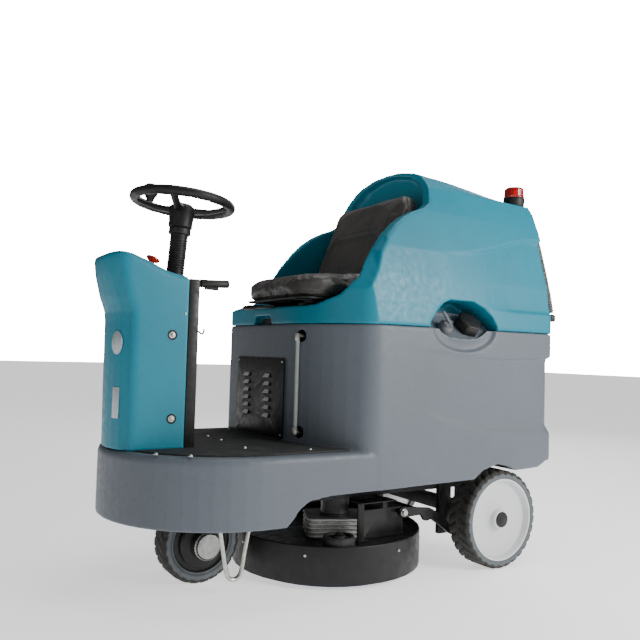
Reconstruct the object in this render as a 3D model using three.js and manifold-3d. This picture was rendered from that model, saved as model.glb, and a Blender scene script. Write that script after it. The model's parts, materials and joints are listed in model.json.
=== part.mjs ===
// Ride-on floor scrubber-dryer.
// Millimetres. +X is forward, +Y is the rider's left, +Z is up, and the floor is z = 0.
import * as THREE from 'three';
import { mergeVertices } from 'three/addons/utils/BufferGeometryUtils.js';
import Module from 'manifold-3d';

const wasm = await Module();
wasm.setup();

// ---------------------------------------------------------------- driving dimensions
const GAP = 0.3; // clearance between pieces that touch
const WALL = 8; // wall of the rotomoulded tanks
const FRAME_SHIFT = 29.5; // moves the middle of the machine's length onto the origin

const HALF_WIDTH = 354; // both tanks, at the seam
const TANK_REAR = -773;
const TANK_FRONT = 172;
const SEAM = 790; // top of the solution tank
const FRONT_ARC = 480; // plan radius of the left front corner
const FRONT_ARC_Y = 10; // where that arc leaves the flat front
const FRONT_BEND = 90; // plan radius of the bend from that arc into the left side

const DECK_TOP = 415;
const DECK_SKIRT = 223;
const DECK_NOSE = 718;
const DECK_ARC_X = 344;
const DECK_HALF_WIDTH = 352;

const COWL_HALF_WIDTH = 118;
const COWL_REAR = 518;
const PANEL_REAR = 488;

const COLUMN_LEAN = 4.5 * Math.PI / 180;
const WHEEL_CENTRE = new THREE.Vector3(505, 0, 1143);
const WHEEL_RADIUS = 144.5;
const RIM_RADIUS = 14.5;
const COLUMN_RADIUS = 27;

const KINGPIN_X = 420;
const DRIVE_RADIUS = 123;
const DRIVE_HALF_TREAD = 42;

const REAR_AXLE_X = -520;
const REAR_RADIUS = 161.6;
const REAR_OUTER = 351;
const REAR_WIDTH = 92;

const BRUSH_X = -47;
const BRUSH_Y = 2;
const BRUSH_COVER_RADIUS = 314;
const BRUSH_COVER_TOP = 129;
const BRUSH_COVER_BOTTOM = 14.5;
const ARM_PIVOT = new THREE.Vector2(-402, 118);
const ARM_TIP = new THREE.Vector2(-187, 195);
const ARM_Y = 229;

// ---------------------------------------------------------------- materials
const finish = (color, roughness, metalness = 0) =>
  new THREE.MeshStandardMaterial({ color, roughness, metalness });
const TEAL = finish(0x2a9fb2, 0.42);
const GREY = finish(0x7b8491, 0.5);
const BLACK_STEEL = finish(0x121314, 0.45, 0.6);
const BLACK_PLASTIC = finish(0x161717, 0.5);
const RUBBER = finish(0x1d1c1a, 0.85);
const ZINC = finish(0xb9bcbd, 0.35, 0.9);
const ALUMINIUM = finish(0x9fa3a3, 0.4, 0.85);
const WHITE_RIM = finish(0xc9cdcf, 0.5, 0.1);
const VINYL = finish(0x25221f, 0.55);
const RED = finish(0xc8141c, 0.25);
const CLEAR = finish(0xd9e0e0, 0.15);
const BATTERY_CASE = finish(0x2b2d30, 0.6);

// ---------------------------------------------------------------- solids
const machine = new THREE.Group();

/** A closed geometry as a manifold solid with its faces turned outwards. */
function solid(geometry) {
  const plain = geometry.clone();
  plain.deleteAttribute('normal');
  plain.deleteAttribute('uv');
  const merged = mergeVertices(plain, 1e-3);
  const p = merged.attributes.position.array;
  const source = merged.index.array;
  const tris = [];
  let volume = 0;
  for (let i = 0; i < source.length; i += 3) {
    const [a, b, c] = [source[i], source[i + 1], source[i + 2]];
    if (a === b || b === c || c === a) continue;
    tris.push(a, b, c);
    const [A, B, C] = [a, b, c].map((k) => new THREE.Vector3(p[3 * k], p[3 * k + 1], p[3 * k + 2]));
    volume += A.dot(B.cross(C));
  }
  if (volume < 0) {
    for (let i = 0; i < tris.length; i += 3) {
      [tris[i], tris[i + 1]] = [tris[i + 1], tris[i]];
    }
  }
  return new wasm.Manifold(new wasm.Mesh({
    numProp: 3,
    vertProperties: new Float32Array(p),
    triVerts: new Uint32Array(tris),
  }));
}

/** A manifold solid as a three.js geometry. */
function geometryOf(shape) {
  const mesh = shape.getMesh();
  const geometry = new THREE.BufferGeometry();
  geometry.setAttribute('position', new THREE.BufferAttribute(mesh.vertProperties, 3));
  geometry.setIndex(new THREE.BufferAttribute(mesh.triVerts, 1));
  geometry.computeVertexNormals();
  return geometry;
}

/** Adds one named piece to the machine, or to a group of it. */
function piece(name, shape, material, parent = machine) {
  const mesh = new THREE.Mesh(geometryOf(shape), material);
  mesh.name = name;
  parent.add(mesh);
  return mesh;
}

/** A group placed at a point and turned about the axes. */
function frameAt(x, y, z, turn = [0, 0, 0], parent = machine) {
  const group = new THREE.Group();
  group.position.set(x, y, z);
  group.rotation.set(...turn);
  parent.add(group);
  return group;
}

function moved(geometry, x, y, z) {
  return geometry.translate(x, y, z);
}

/** A box given by its lowest and highest corners. */
function block(low, high) {
  const size = high.map((v, i) => v - low[i]);
  const box = new THREE.BoxGeometry(...size);
  return solid(moved(box, ...low.map((v, i) => v + size[i] / 2)));
}

/** The same piece made for the left side and the right side, joined. */
function mirrored(make) {
  return make(1).add(make(-1));
}

/** A block on one side of the machine, given by its inner and outer y. */
const sideBlock = (s, x0, x1, y0, y1, z0, z1) =>
  block([x0, s > 0 ? y0 : -y1, z0], [x1, s > 0 ? y1 : -y0, z1]);

/** An outline in plan, raised from z0 to z1, its edges rounded by `round`. */
function raised(shape, z0, z1, round = 0, curveSegments = 12) {
  const geometry = new THREE.ExtrudeGeometry(shape, {
    depth: z1 - z0 - 2 * round,
    bevelEnabled: round > 0,
    bevelThickness: round,
    bevelSize: round,
    bevelOffset: -round,
    bevelSegments: 2,
    curveSegments,
  });
  return solid(moved(geometry, 0, 0, z0 + round));
}

/** An outline in the XZ plane, drawn as (x, z), carried across from y0 to y1. */
function across(shape, y0, y1, round = 0, curveSegments = 12) {
  const geometry = new THREE.ExtrudeGeometry(shape, {
    depth: y1 - y0 - 2 * round,
    bevelEnabled: round > 0,
    bevelThickness: round,
    bevelSize: round,
    bevelOffset: -round,
    bevelSegments: 2,
    curveSegments,
  });
  geometry.rotateX(Math.PI / 2);
  return solid(moved(geometry, 0, y1 - round, 0));
}

/** A shape drawn in Y and Z, carried forward from x0 to x1. */
function forward(shape, x0, x1, curveSegments = 8) {
  const geometry = new THREE.ExtrudeGeometry(shape, { depth: x1 - x0, bevelEnabled: false, curveSegments });
  geometry.applyMatrix4(new THREE.Matrix4().makeBasis(
    new THREE.Vector3(0, 1, 0), new THREE.Vector3(0, 0, 1), new THREE.Vector3(1, 0, 0)));
  return solid(moved(geometry, x0, 0, 0));
}

const outline = (points) => new THREE.Shape(points.map(([x, y]) => new THREE.Vector2(x, y)));

function roundedRectangle(width, height, radius) {
  const [w, h] = [width / 2, height / 2];
  const shape = new THREE.Shape();
  shape.moveTo(w, -h + radius);
  shape.absarc(w - radius, h - radius, radius, 0, Math.PI / 2);
  shape.absarc(-w + radius, h - radius, radius, Math.PI / 2, Math.PI);
  shape.absarc(-w + radius, -h + radius, radius, Math.PI, 1.5 * Math.PI);
  shape.absarc(w - radius, -h + radius, radius, 1.5 * Math.PI, 2 * Math.PI);
  return shape;
}

/** A turned piece: its profile is (radius, height) pairs about the Z axis. */
function turned(profile, segments = 32) {
  const geometry = new THREE.LatheGeometry(profile.map(([r, z]) => new THREE.Vector2(r, z)), segments);
  geometry.rotateX(Math.PI / 2);
  return solid(geometry);
}

/** A disc or plain pin about the Z axis. */
const disc = (radius, z0, z1, segments = 32) =>
  turned([[0, z0], [radius, z0], [radius, z1], [0, z1]], segments);

/** A round bar from one point to another. */
function bar(from, to, radius, segments = 16) {
  const a = new THREE.Vector3(...from);
  const b = new THREE.Vector3(...to);
  const geometry = new THREE.CylinderGeometry(radius, radius, a.distanceTo(b), segments);
  const turn = new THREE.Quaternion().setFromUnitVectors(
    new THREE.Vector3(0, 1, 0), b.clone().sub(a).normalize());
  geometry.applyQuaternion(turn);
  const middle = a.add(b).multiplyScalar(0.5);
  return solid(moved(geometry, middle.x, middle.y, middle.z));
}

/** A round tube or rod bent smoothly through points. */
function bentRod(points, radius, steps, sides = 10) {
  const section = new THREE.Shape();
  section.absarc(0, 0, radius, 0, 2 * Math.PI);
  const path = new THREE.CatmullRomCurve3(points.map((p) => new THREE.Vector3(...p)), false, 'centripetal');
  const geometry = new THREE.ExtrudeGeometry(section, {
    steps,
    curveSegments: sides / 2,
    extrudePath: path,
  });
  return solid(geometry);
}

/** Triangles that close a section, wound along it or against it. */
function capOf(section, offset, along) {
  const span = new THREE.Box3().setFromPoints(section).getSize(new THREE.Vector3());
  const [u, v] = ['x', 'y', 'z'].sort((m, n) => span[n] - span[m]);
  const drawn = section.map((p) => new THREE.Vector2(p[u], p[v]));
  const contour = Math.sign(THREE.ShapeUtils.area(drawn));
  return THREE.ShapeUtils.triangulateShape(drawn, []).flatMap(([a, b, c]) => {
    const wound = Math.sign(THREE.ShapeUtils.area([drawn[a], drawn[b], drawn[c]])) === contour;
    return (wound === along ? [a, b, c] : [a, c, b]).map((k) => k + offset);
  });
}

/** A skin through sections of equal point count, closed by a cap at each end. */
function lofted(sections) {
  const count = sections[0].length;
  const index = capOf(sections[0], 0, false);
  for (let s = 0; s + 1 < sections.length; s += 1) {
    for (let i = 0; i < count; i += 1) {
      const j = (i + 1) % count;
      const [a, b] = [s * count + i, s * count + j];
      index.push(a, b, b + count, a, b + count, a + count);
    }
  }
  index.push(...capOf(sections.at(-1), (sections.length - 1) * count, true));
  const geometry = new THREE.BufferGeometry();
  const positions = sections.flat().flatMap((p) => [p.x, p.y, p.z]);
  geometry.setAttribute('position', new THREE.Float32BufferAttribute(positions, 3));
  geometry.setIndex(index);
  return solid(geometry);
}

/** Reads a table of (x, value) pairs at an x, with straight lines between them. */
const along = (pairs, at) => {
  const i = Math.max(1, pairs.findIndex(([x]) => x >= at));
  const [a, b] = at > pairs.at(-1)[0] ? pairs.slice(-2) : [pairs[i - 1], pairs[i]];
  return THREE.MathUtils.mapLinear(THREE.MathUtils.clamp(at, a[0], b[0]), a[0], b[0], a[1], b[1]);
};

// ---------------------------------------------------------------- solution tank and front deck
/** Plan of both tanks: a flat front, one wide left front corner, small ones elsewhere. */
function tankPlan(inset = 0) {
  const half = HALF_WIDTH - inset;
  const [front, rear] = [TANK_FRONT - inset, TANK_REAR + inset];
  const [cornerFront, cornerRear] = [18, 45];
  const arcX = TANK_FRONT - FRONT_ARC;
  const radius = FRONT_ARC - inset;
  const shape = new THREE.Shape();
  shape.moveTo(rear + cornerRear, -half);
  shape.lineTo(front - cornerFront, -half);
  shape.absarc(front - cornerFront, -half + cornerFront, cornerFront, -Math.PI / 2, 0);
  const reach = FRONT_ARC - FRONT_BEND;
  const bend = Math.asin((HALF_WIDTH - FRONT_BEND - FRONT_ARC_Y) / reach);
  shape.absarc(arcX, FRONT_ARC_Y, radius, 0, bend);
  shape.absarc(arcX + reach * Math.cos(bend), HALF_WIDTH - FRONT_BEND, FRONT_BEND - inset, bend,
    Math.PI / 2);
  shape.absarc(rear + cornerRear, half - cornerRear, cornerRear, Math.PI / 2, Math.PI);
  shape.absarc(rear + cornerRear, -half + cornerRear, cornerRear, Math.PI, 1.5 * Math.PI);
  return shape;
}

/** Plan of the front deck: straight sides and a half-ellipse nose. */
function deckPlan(inset, back = -30) {
  const half = DECK_HALF_WIDTH - inset;
  const shape = new THREE.Shape();
  shape.moveTo(back, -half);
  shape.lineTo(DECK_ARC_X, -half);
  shape.absellipse(DECK_ARC_X, 0, DECK_NOSE - DECK_ARC_X - inset, half, -Math.PI / 2, Math.PI / 2);
  shape.lineTo(back, half);
  return shape;
}

const CAP_ALONG = -48;
const PORT = { x: -337, y: 304, z: 803, halfLength: 136, halfHeight: 66, tilt: Math.PI / 4, lip: 6,
  sunk: 9 };

/** Moves something drawn on the tilted filling ledge, with Z out of it, into place. */
function onPort(geometry, forward = 0, up = 0) {
  geometry.translate(0, up, 0).rotateX(-PORT.tilt);
  return moved(geometry, PORT.x + forward, PORT.y, PORT.z);
}

/** An upright column of the ledge's oval, from `from` to `to` along its normal. */
function portOval(halfLength, halfHeight, from, to) {
  const shape = new THREE.Shape();
  shape.absellipse(0, 0, halfLength, halfHeight, 0, 2 * Math.PI);
  const geometry = new THREE.ExtrudeGeometry(shape, { depth: to - from, bevelEnabled: false,
    curveSegments: 14 });
  return solid(onPort(moved(geometry, 0, 0, from)));
}

/** The hollow in the tank's side that the ledge's lip stands clear of, made larger by `grow`. */
function portHollow(grow) {
  const [length, height, depth] = [PORT.halfLength + 5 + grow, 76 + grow, 16 + grow];
  const geometry = new THREE.CylinderGeometry(1, 0.9, depth, 40).scale(length, 1, height);
  return solid(moved(geometry, PORT.x, HALF_WIDTH + 2 - depth / 2, SEAM));
}

/** How far the panel in the tank's sides and back is sunk, against x. */
const PANEL_DEPTH = [[-560, 12], [-400, 7], [-250, 2.5], [-130, 0]];
/** The panel's upper edge, and the foot of the slope that it ends in below, as (x, z). */
const PANEL_TOP = [[-700, 708], [-500, 699], [-360, 706], [-230, 718], [-130, 726]];
const PANEL_FOOT = [[-773, 440], [-675, 436], [-551, 442], [-410, 458], [-278, 490], [-194, 517],
  [-121, 543]];

/** One ring of the tank's skin: the plan inset by `wall`, sunk with the panel if `sunk`, at height(x). */
function tankRing(wall, sunk, height) {
  const deepest = 20;
  const [plan, outer, inner] = [0, wall, wall + deepest].map((inset) => {
    const points = tankPlan(inset).getPoints(4);
    return points.filter((p, i) => p.distanceTo(points[(i + 1) % points.length]) > 0.01);
  });
  return plan.flatMap((start, i) => {
    const next = (i + 1) % plan.length;
    const cuts = Math.max(1, Math.round(start.distanceTo(plan[next]) / 72));
    return Array.from({ length: cuts }, (_, k) => {
      const [out, into] = [outer, inner].map((points) => points[i].clone().lerp(points[next], k / cuts));
      const { x, y } = out.lerp(into, sunk ? along(PANEL_DEPTH, out.x) / deepest : 0);
      return new THREE.Vector3(x, y, height(x));
    });
  });
}

/** The tank's skin, or with a wall thickness the space inside it. */
function tankSkin(wall, low, high, round) {
  const slope = (x) => 4 + 2 * along(PANEL_DEPTH, x);
  return lofted([
    tankRing(wall, false, () => low),
    tankRing(wall, false, (x) => along(PANEL_FOOT, x)),
    tankRing(wall, true, (x) => along(PANEL_FOOT, x) + slope(x)),
    tankRing(wall, true, (x) => along(PANEL_TOP, x) - 8),
    tankRing(wall, false, (x) => along(PANEL_TOP, x)),
    tankRing(wall, false, () => high - round),
    tankRing(wall + round * 0.3, false, () => high - round * 0.3),
    tankRing(wall + round, false, () => high),
  ]);
}

/** Where the steering column crosses a height. */
const columnAt = (z) => WHEEL_CENTRE.x + (WHEEL_CENTRE.z - z) * Math.tan(COLUMN_LEAN);

function columnClearance(radius) {
  return bar([columnAt(300), 0, 300], [columnAt(1000), 0, 1000], radius, 24);
}

/** The edge that the sides of the solution tank and the deck end on below, as (x, z). */
const LOWER_EDGE = [
  [DECK_ARC_X - 39, DECK_SKIRT], [284, 243], [269, 266], [238, 287], [TANK_FRONT, 296],
  [-388, 304], [-425, 330], [-492, 347], [-540, 338], [-578, 321], [-690, 325], [-728, 344], [-790, 352],
];

const SIGHT = { y: 136, low: 452, high: 752 };
const BAY = { low: [-610, -262, 432], high: [70, 262, SEAM + 20] };

function solutionTank() {
  const tank = tankSkin(0, 200, SEAM, 6);
  const deckRound = 16;
  const deck = raised(deckPlan(0), DECK_SKIRT - 2 * deckRound, DECK_TOP, deckRound, 14);
  const below = outline([[900, 0], [900, DECK_SKIRT], ...LOWER_EDGE, [-900, 352], [-900, 0]]);
  const corner = block([TANK_FRONT - WALL, -400, 0], [900, 400, DECK_TOP - WALL]);
  const deckHollow = raised(deckPlan(WALL), 150, DECK_TOP - WALL, 0, 14).intersect(corner)
    .subtract(block([TANK_FRONT - WALL - 1, -400, 0], [TANK_FRONT, 400, DECK_TOP]));
  const bayWalls = block(BAY.low.map((v) => v - WALL), BAY.high.map((v) => v + WALL));
  const water = tankSkin(WALL, 304, SEAM - WALL, 2)
    .subtract(bayWalls)
    .subtract(portHollow(WALL))
    .subtract(across(outline([...LOWER_EDGE.slice(4).map(([x, z]) => [x, z + WALL]),
      [-900, 360], [-900, 100], [400, 100], [400, 304]]), -400, 400));
  const ledge = portOval(PORT.halfLength, PORT.halfHeight, -76, 0)
    .intersect(raised(tankPlan(), 600, 900, 0, 10))
    .intersect(block([-600, 236, 600], [0, 400, 900]));
  const mouth = new THREE.CylinderGeometry(27, 27, 80, 24).rotateX(Math.PI / 2);
  const fillerHole = solid(onPort(mouth, CAP_ALONG))
    .add(bar([PORT.x + CAP_ALONG, 304, 690], [PORT.x + CAP_ALONG, 304, 785], 19, 20));
  const pit = portOval(PORT.halfLength - PORT.lip, PORT.halfHeight - PORT.lip, -PORT.sunk, 40);
  const shell = tank.add(deck)
    .subtract(across(below, -400, 400))
    .subtract(water)
    .subtract(portHollow(0))
    .add(ledge)
    .subtract(pit)
    .subtract(deckHollow)
    .subtract(block(BAY.low, BAY.high))
    .subtract(fillerHole)
    .subtract(columnClearance(COLUMN_RADIUS + 4));
  const elbowPit = (z) => bar([TANK_FRONT - 30, SIGHT.y, z], [TANK_FRONT + 20, SIGHT.y, z], 18, 20);
  return shell.subtract(elbowPit(SIGHT.high)).subtract(elbowPit(SIGHT.low));
}

function sightTube() {
  const x = sightX() + 10;
  piece('sight_tube', bar([x, SIGHT.y, SIGHT.low + 16], [x, SIGHT.y, SIGHT.high - 16], 6, 12), CLEAR);
  for (const [name, z, way] of [['sight_elbow_lower', SIGHT.low, 1],
    ['sight_elbow_upper', SIGHT.high, -1]]) {
    const shank = bar([TANK_FRONT - 30 + GAP, SIGHT.y, z], [x + 3, SIGHT.y, z], 7, 16);
    const socket = bar([x, SIGHT.y, z - 7 * way], [x, SIGHT.y, z + (16 - GAP) * way], 8.5, 6);
    piece(name, shank.add(socket), ZINC);
  }
}

/** The tank's front surface at the sight tube. */
const sightX = () => TANK_FRONT - FRONT_ARC
  + Math.sqrt(FRONT_ARC ** 2 - (SIGHT.y - FRONT_ARC_Y) ** 2);

function footplateMat() {
  const thick = 5;
  const inset = 34;
  const mat = raised(deckPlan(inset, 84), DECK_TOP + GAP, DECK_TOP + thick, 0, 18)
    .subtract(raised(tankPlan(-GAP - 1), DECK_TOP - 5, DECK_TOP + 20, 0, 10))
    .subtract(raised(cowlPlan(-2, DECK_TOP + 2), DECK_TOP - 5, DECK_TOP + 20))
    .subtract(block([PANEL_REAR - 2, -COWL_HALF_WIDTH - 2, 400],
      [COWL_REAR + 40, COWL_HALF_WIDTH + 2, 430]));
  piece('footplate_mat', mat, RUBBER);
}

function ventPanel() {
  const [y0, y1, z0, z1] = [-268, 70, 416 + 6, 680];
  const thick = 3;
  const x0 = TANK_FRONT + GAP;
  let panel = forward(roundedRectangle(y1 - y0, z1 - z0, 12), x0, x0 + thick, 4)
    .translate([0, (y0 + y1) / 2, (z0 + z1) / 2]);
  const [width, height, depth] = [46, 13, 8];
  for (const y of [-186, -38]) {
    for (let row = 0; row < 6; row += 1) {
      const z = 484 + row * 26;
      const hood = across(outline([[x0 + 1, z], [x0 + thick + depth, z], [x0 + thick, z + height],
        [x0 + 1, z + height]]), y - width / 2, y + width / 2);
      const mouth = across(outline([[x0 - 5, z - 1], [x0 + thick + depth - 1.5, z - 1],
        [x0 + thick - 1.5, z + height - 3],
        [x0 - 5, z + height - 3]]), y - width / 2 + 2, y + width / 2 - 2);
      panel = panel.add(hood).subtract(mouth);
    }
  }
  piece('vent_panel', panel, BLACK_STEEL);
}

function batteries() {
  const [length, width, height] = [262, 180, 262];
  const base = BAY.low[2] + GAP;
  for (const [row, x] of [['front', -118], ['rear', -402]]) {
    for (const [hand, side] of [['left', 1], ['right', -1]]) {
      const at = frameAt(x, side * 100, base);
      let battery = raised(roundedRectangle(length, width, 8), 0, height, 0, 2);
      for (const end of [-1, 1]) {
        battery = battery.add(disc(9, height - 1, height + 16, 8).translate([end * 100, side * 50, 0]));
      }
      piece(`battery_${row}_${hand}`, battery, BATTERY_CASE, at);
    }
  }
}

function fillPort() {
  const floor = -PORT.sunk + GAP;
  const [forward, up, turn] = [54, 12, 0.5];
  const atValve = (geometry) => solid(onPort(geometry, forward, up));
  const peg = (low, high, z0, z1, sides) =>
    moved(new THREE.CylinderGeometry(high, low, z1 - z0, sides).rotateX(Math.PI / 2), 0, 0, (z0 + z1) / 2);
  const body = atValve(peg(26, 23, floor, 14, 20)).add(atValve(peg(8, 8, 13, 24, 12)));
  piece('fill_valve_body', body, GREY);
  const flat = (width, height, depth) =>
    new THREE.ExtrudeGeometry(roundedRectangle(width, height, 4), { depth, bevelEnabled: false,
      curveSegments: 3 });
  const wing = moved(flat(44, 18, 9), 0, 0, 14 + GAP).rotateZ(turn);
  const grip = flat(11, 52, 6).translate(0, -23, 20).rotateX(-0.45).rotateZ(turn);
  const handle = atValve(wing).add(atValve(grip)).subtract(atValve(peg(8 + GAP, 8 + GAP, 10, 24 + GAP,
    12)));
  piece('fill_valve_handle', handle, GREY);

  const hexagon = peg(46, 44, floor, 28, 6).rotateZ(0.3);
  const cap = solid(onPort(hexagon, CAP_ALONG)).add(solid(onPort(peg(26, 26, -34, floor + 1, 24),
    CAP_ALONG)));
  piece('filler_cap', cap, BLACK_PLASTIC);
}

// ---------------------------------------------------------------- recovery tank
/** Half-width of the recovery tank against height: the sides lean in as they rise. */
const SIDE = [[SEAM, 351], [862, 347], [950, 336], [1040, 319], [1130, 297], [1200, 274], [1256, 252]];
/** Height of the roof's middle against x. */
const CROWN = [[-800, 1262], [-745, 1283], [-640, 1305], [-500, 1330], [-380, 1346], [-280, 1352]];
/** Height of the swage line that climbs to the rear, and how far it stands out. */
const SWAGE = [[-700, 1126], [-620, 1110], [-520, 1080], [-420, 1052], [-280, 1034], [400, 1034]];
const SWAGE_STEP = [[-700, 12], [-520, 8], [-400, 4], [-280, 0]];
/** Top of the band round the tank's foot, and how far it stands out. */
const BAND = 860;
const BAND_STEP = [[-700, 9], [-560, 7], [-430, 0]];

/** One side of the tank's cross-section at x, as (y, z) from the bottom up to the middle. */
function tankSide(x, inset) {
  const swage = along(SWAGE, x);
  const [step, band] = [along(SWAGE_STEP, x), along(BAND_STEP, x)];
  const crown = along(CROWN, x) - inset;
  const y = (z) => along(SIDE, z) - inset;
  const lift = crown - (1352 - inset);
  return [
    [y(SEAM + 10) - 3, SEAM + GAP], [y(SEAM + 10) + 1, SEAM + 6], [y(BAND - 12), BAND - 12],
    [y(BAND), BAND - 4], [y(BAND) - band, BAND + 5], [y(950) - Math.max(band, step) * 0.6, 950],
    [y(swage - 6) - step, swage - 6], [y(swage + 3), swage + 3],
    [y(1175), Math.max(1175, swage + 30)], [y(1215), 1215], [y(1256) + 3, 1245],
    [y(1256) - 3, 1260 - inset * 0.6], [y(1256) - 20, 1282 + lift * 0.35 - inset * 0.8],
    [198 - inset * 0.5, 1312 + lift * 0.8 - inset], [150, 1332 + lift - inset * 0.4],
    [75, crown - 4], [0, crown],
  ];
}

/** The whole cross-section of the recovery tank at x. */
function tankSection(x, inset = 0, floor = SEAM + GAP) {
  const left = tankSide(x, inset).map(([y, z]) => [y, Math.max(z, floor)]);
  const right = left.slice(0, -1).reverse().map(([y, z]) => [-y, z]);
  return [...left, ...right].map(([y, z]) => new THREE.Vector3(x, y, z));
}

/** The curve the seat opening follows, as (x, z): its inner edge, then its outer edge. */
const OPENING_INNER = [
  [190, 848], [128, 858], [97, 878], [67, 927], [30, 980], [2, 1020], [-42, 1073], [-80, 1110],
  [-125, 1143], [-170, 1166], [-211, 1181], [-238, 1200], [-250, 1240], [-262, 1300], [-268, 1400],
];
const OPENING_OUTER = [
  [190, 843], [128, 848], [90, 858], [48, 888], [31, 915], [8, 950], [-20, 1013], [-42, 1048],
  [-82, 1094], [-135, 1132], [-190, 1156], [-238, 1186], [-250, 1232], [-258, 1300], [-264, 1400],
];

function seatOpening() {
  const profile = (edge) => [[260, edge[0][1]], ...edge, [260, 1400]];
  const at = (y, edge) => profile(edge).map(([x, z]) => new THREE.Vector3(x, y, z));
  return lofted([
    at(-380, OPENING_OUTER), at(-338, OPENING_OUTER), at(-290, OPENING_INNER),
    at(290, OPENING_INNER), at(338, OPENING_OUTER), at(380, OPENING_OUTER),
  ]);
}

/** The scooped well between the wings that the seat stands in. */
function seatWell() {
  const levels = [[847, 150, -215], [850, 185, -240], [858, 210, -256], [878, 256, -268], [905, 284, -273],
    [935, 297, -276], [1020, 278, -280], [1075, 264, -283], [1145, 248, -286], [1190, 236, -288],
    [1240, 226, -290], [1285, 200, -291], [1318, 150, -291], [1334, 80, -290], [1338, 40, -289]];
  const corner = 48;
  return lofted(levels.map(([z, half, rear]) => {
    const r = Math.min(corner, half * 0.6);
    const points = [[300, -half]];
    for (const [cx, cy, start] of [[rear + r, -half + r, 1.5], [rear + r, half - r, 1]]) {
      for (let i = 0; i <= 4; i += 1) {
        const angle = Math.PI * (start - i / 8);
        points.push([cx + r * Math.cos(angle), cy + r * Math.sin(angle)]);
      }
    }
    points.push([300, half]);
    return points.map(([x, y]) => new THREE.Vector3(x, y, z));
  }));
}

/** The recovery tank's back from its foot up, as (x, z), with the same band and swage as its sides. */
const TANK_BACK = [[-790, 700], [-769, 780], [-767, 856], [-758, 866], [-750, 1124], [-757, 1133],
  [-749, 1240], [-738, 1262], [-715, 1276]];

/** The arch that leaves room round the filling ledge. */
const ARCH = [[-192, SEAM - 20], [-192, 806], [-216, 840], [-248, 870], [-276, 882], [-379, 882],
  [-427, 863], [-462, 836], [-483, 806], [-483, SEAM - 20]];

const LID = { x0: -650, x1: -345, half: 152, thick: 9 };

function recoveryTank() {
  const stations = [-769, -745, -715, -680, -640, -600, -560, -520, -480, -440, -400, -360, -320, -280,
    -180, 0, 200];
  const skin = lofted(stations.map((x) => tankSection(x)));
  const plan = raised(tankPlan(0), SEAM - 5, 1400, 0, 10)
    .subtract(across(outline([...TANK_BACK, [-715, 1400], [-900, 1400], [-900, 700]]), -400, 400));
  const archWall = 7;
  const arch = across(outline(ARCH), 232, 400);
  const archOuter = across(outline(ARCH.map(([x, z]) => [x + (x > -337 ? archWall : -archWall),
    z + archWall])),
    232 - archWall, 400);
  const inside = lofted([-752, -700, -640, -580, -520, -460, -400, -340, -302]
    .map((x) => tankSection(x, WALL, SEAM + WALL)))
    .intersect(raised(tankPlan(WALL + 4), SEAM, 1400, 0, 10))
    .subtract(archOuter);
  const underSeat = block([-286, -290, SEAM - 30], [120, 290, 838])
    .intersect(raised(tankPlan(WALL + 22), SEAM - 40, 900, 0, 10));
  const lidOpening = block([LID.x0 - 1.5, -LID.half - 1.5, 1250], [LID.x1 + 1.5, LID.half + 1.5, 1400]);
  const notch = forward(outline([[-164, 780], [-26, 780], [-44, 819], [-146, 819]]), 144, 200);
  const tank = skin.intersect(plan)
    .subtract(seatOpening())
    .subtract(seatWell())
    .subtract(inside)
    .subtract(underSeat)
    .subtract(arch)
    .subtract(lidOpening)
    .subtract(notch);
  const lidBlock = block([LID.x0, -LID.half, 1250], [LID.x1, LID.half, 1400]);
  const under = lofted([-700, -640, -580, -520, -460, -400, -340, -310].map((x) => tankSection(x,
    LID.thick)));
  return { tank, lid: skin.intersect(lidBlock).subtract(under) };
}

function recoveryTankPieces() {
  const { tank, lid } = recoveryTank();
  piece('recovery_tank', tank, TEAL);
  piece('recovery_lid', lid, TEAL);

  const motorTop = 838 - GAP;
  const motor = turned([[0, 716], [40, 716], [58, 722], [66, 734], [66, 800], [74, 804], [74, 812],
    [66, 816], [66, 822], [82, 824], [82, motorTop], [0, motorTop]], 18);
  piece('vacuum_motor', motor, BLACK_PLASTIC, frameAt(-40, 0, 0));
}

/** The cowl's nose against height, at its middle. */
const COWL_NOSE = [[400, 713], [602, 716], [788, 718], [806, 721], [841, 735], [907, 751], [945, 756],
  [990, 758]];

/** The cowl's plan at a height. */
function cowlPlan(inset, z) {
  const shape = new THREE.Shape();
  shape.setFromPoints(cowlSection(z, inset, COWL_REAR - 10).map((p) => new THREE.Vector2(p.x, p.y)));
  return shape;
}

function cowlSection(z, inset, back = COWL_REAR) {
  const nose = along(COWL_NOSE, z) - inset;
  const half = COWL_HALF_WIDTH - inset;
  const bow = 34;
  const soft = 26;
  const points = [[back, -half]];
  for (const side of [-1, 1]) {
    const turn = [];
    for (let i = 0; i <= 3; i += 1) {
      const t = i / 3;
      turn.push([nose - bow - soft * (1 - t) ** 1.6 * 0.9, side * (half - soft * 0.55 * t ** 2)]);
    }
    const face = [0.72, 0.45, 0.2].map((f) => [nose - bow * f * f, side * half * f]);
    points.push(...(side < 0 ? [...turn, ...face, [nose, 0]] : [...face.reverse(), ...turn.reverse()]));
  }
  points.push([back, half]);
  return points.map(([x, y]) => new THREE.Vector3(x, y, z));
}

// ---------------------------------------------------------------- drain hose and beacon
const HOSE_ROUTE = [[-768, 244, 1142], [-776, 246, 1136], [-781, 251, 1122], [-784, 267, 1060],
  [-789, 290, 960], [-792, 304, 890], [-793, 305, 868]];
const HOSE_RADIUS = 16;

function drainHose() {
  const cuff = bar([-757.8, 244, 1142], [-770, 244, 1142], 20, 16);
  piece('drain_hose', bentRod(HOSE_ROUTE, HOSE_RADIUS, 14, 8).add(cuff), RUBBER);
  const tail = new THREE.Vector3(...HOSE_ROUTE.at(-1));
  const plug = turned([[0, -30], [21, -30], [22, -26], [22, -8], [17, -4], [0, -4]], 20);
  piece('drain_hose_plug', plug, BLACK_PLASTIC, frameAt(tail.x, tail.y, tail.z));
}

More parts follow.
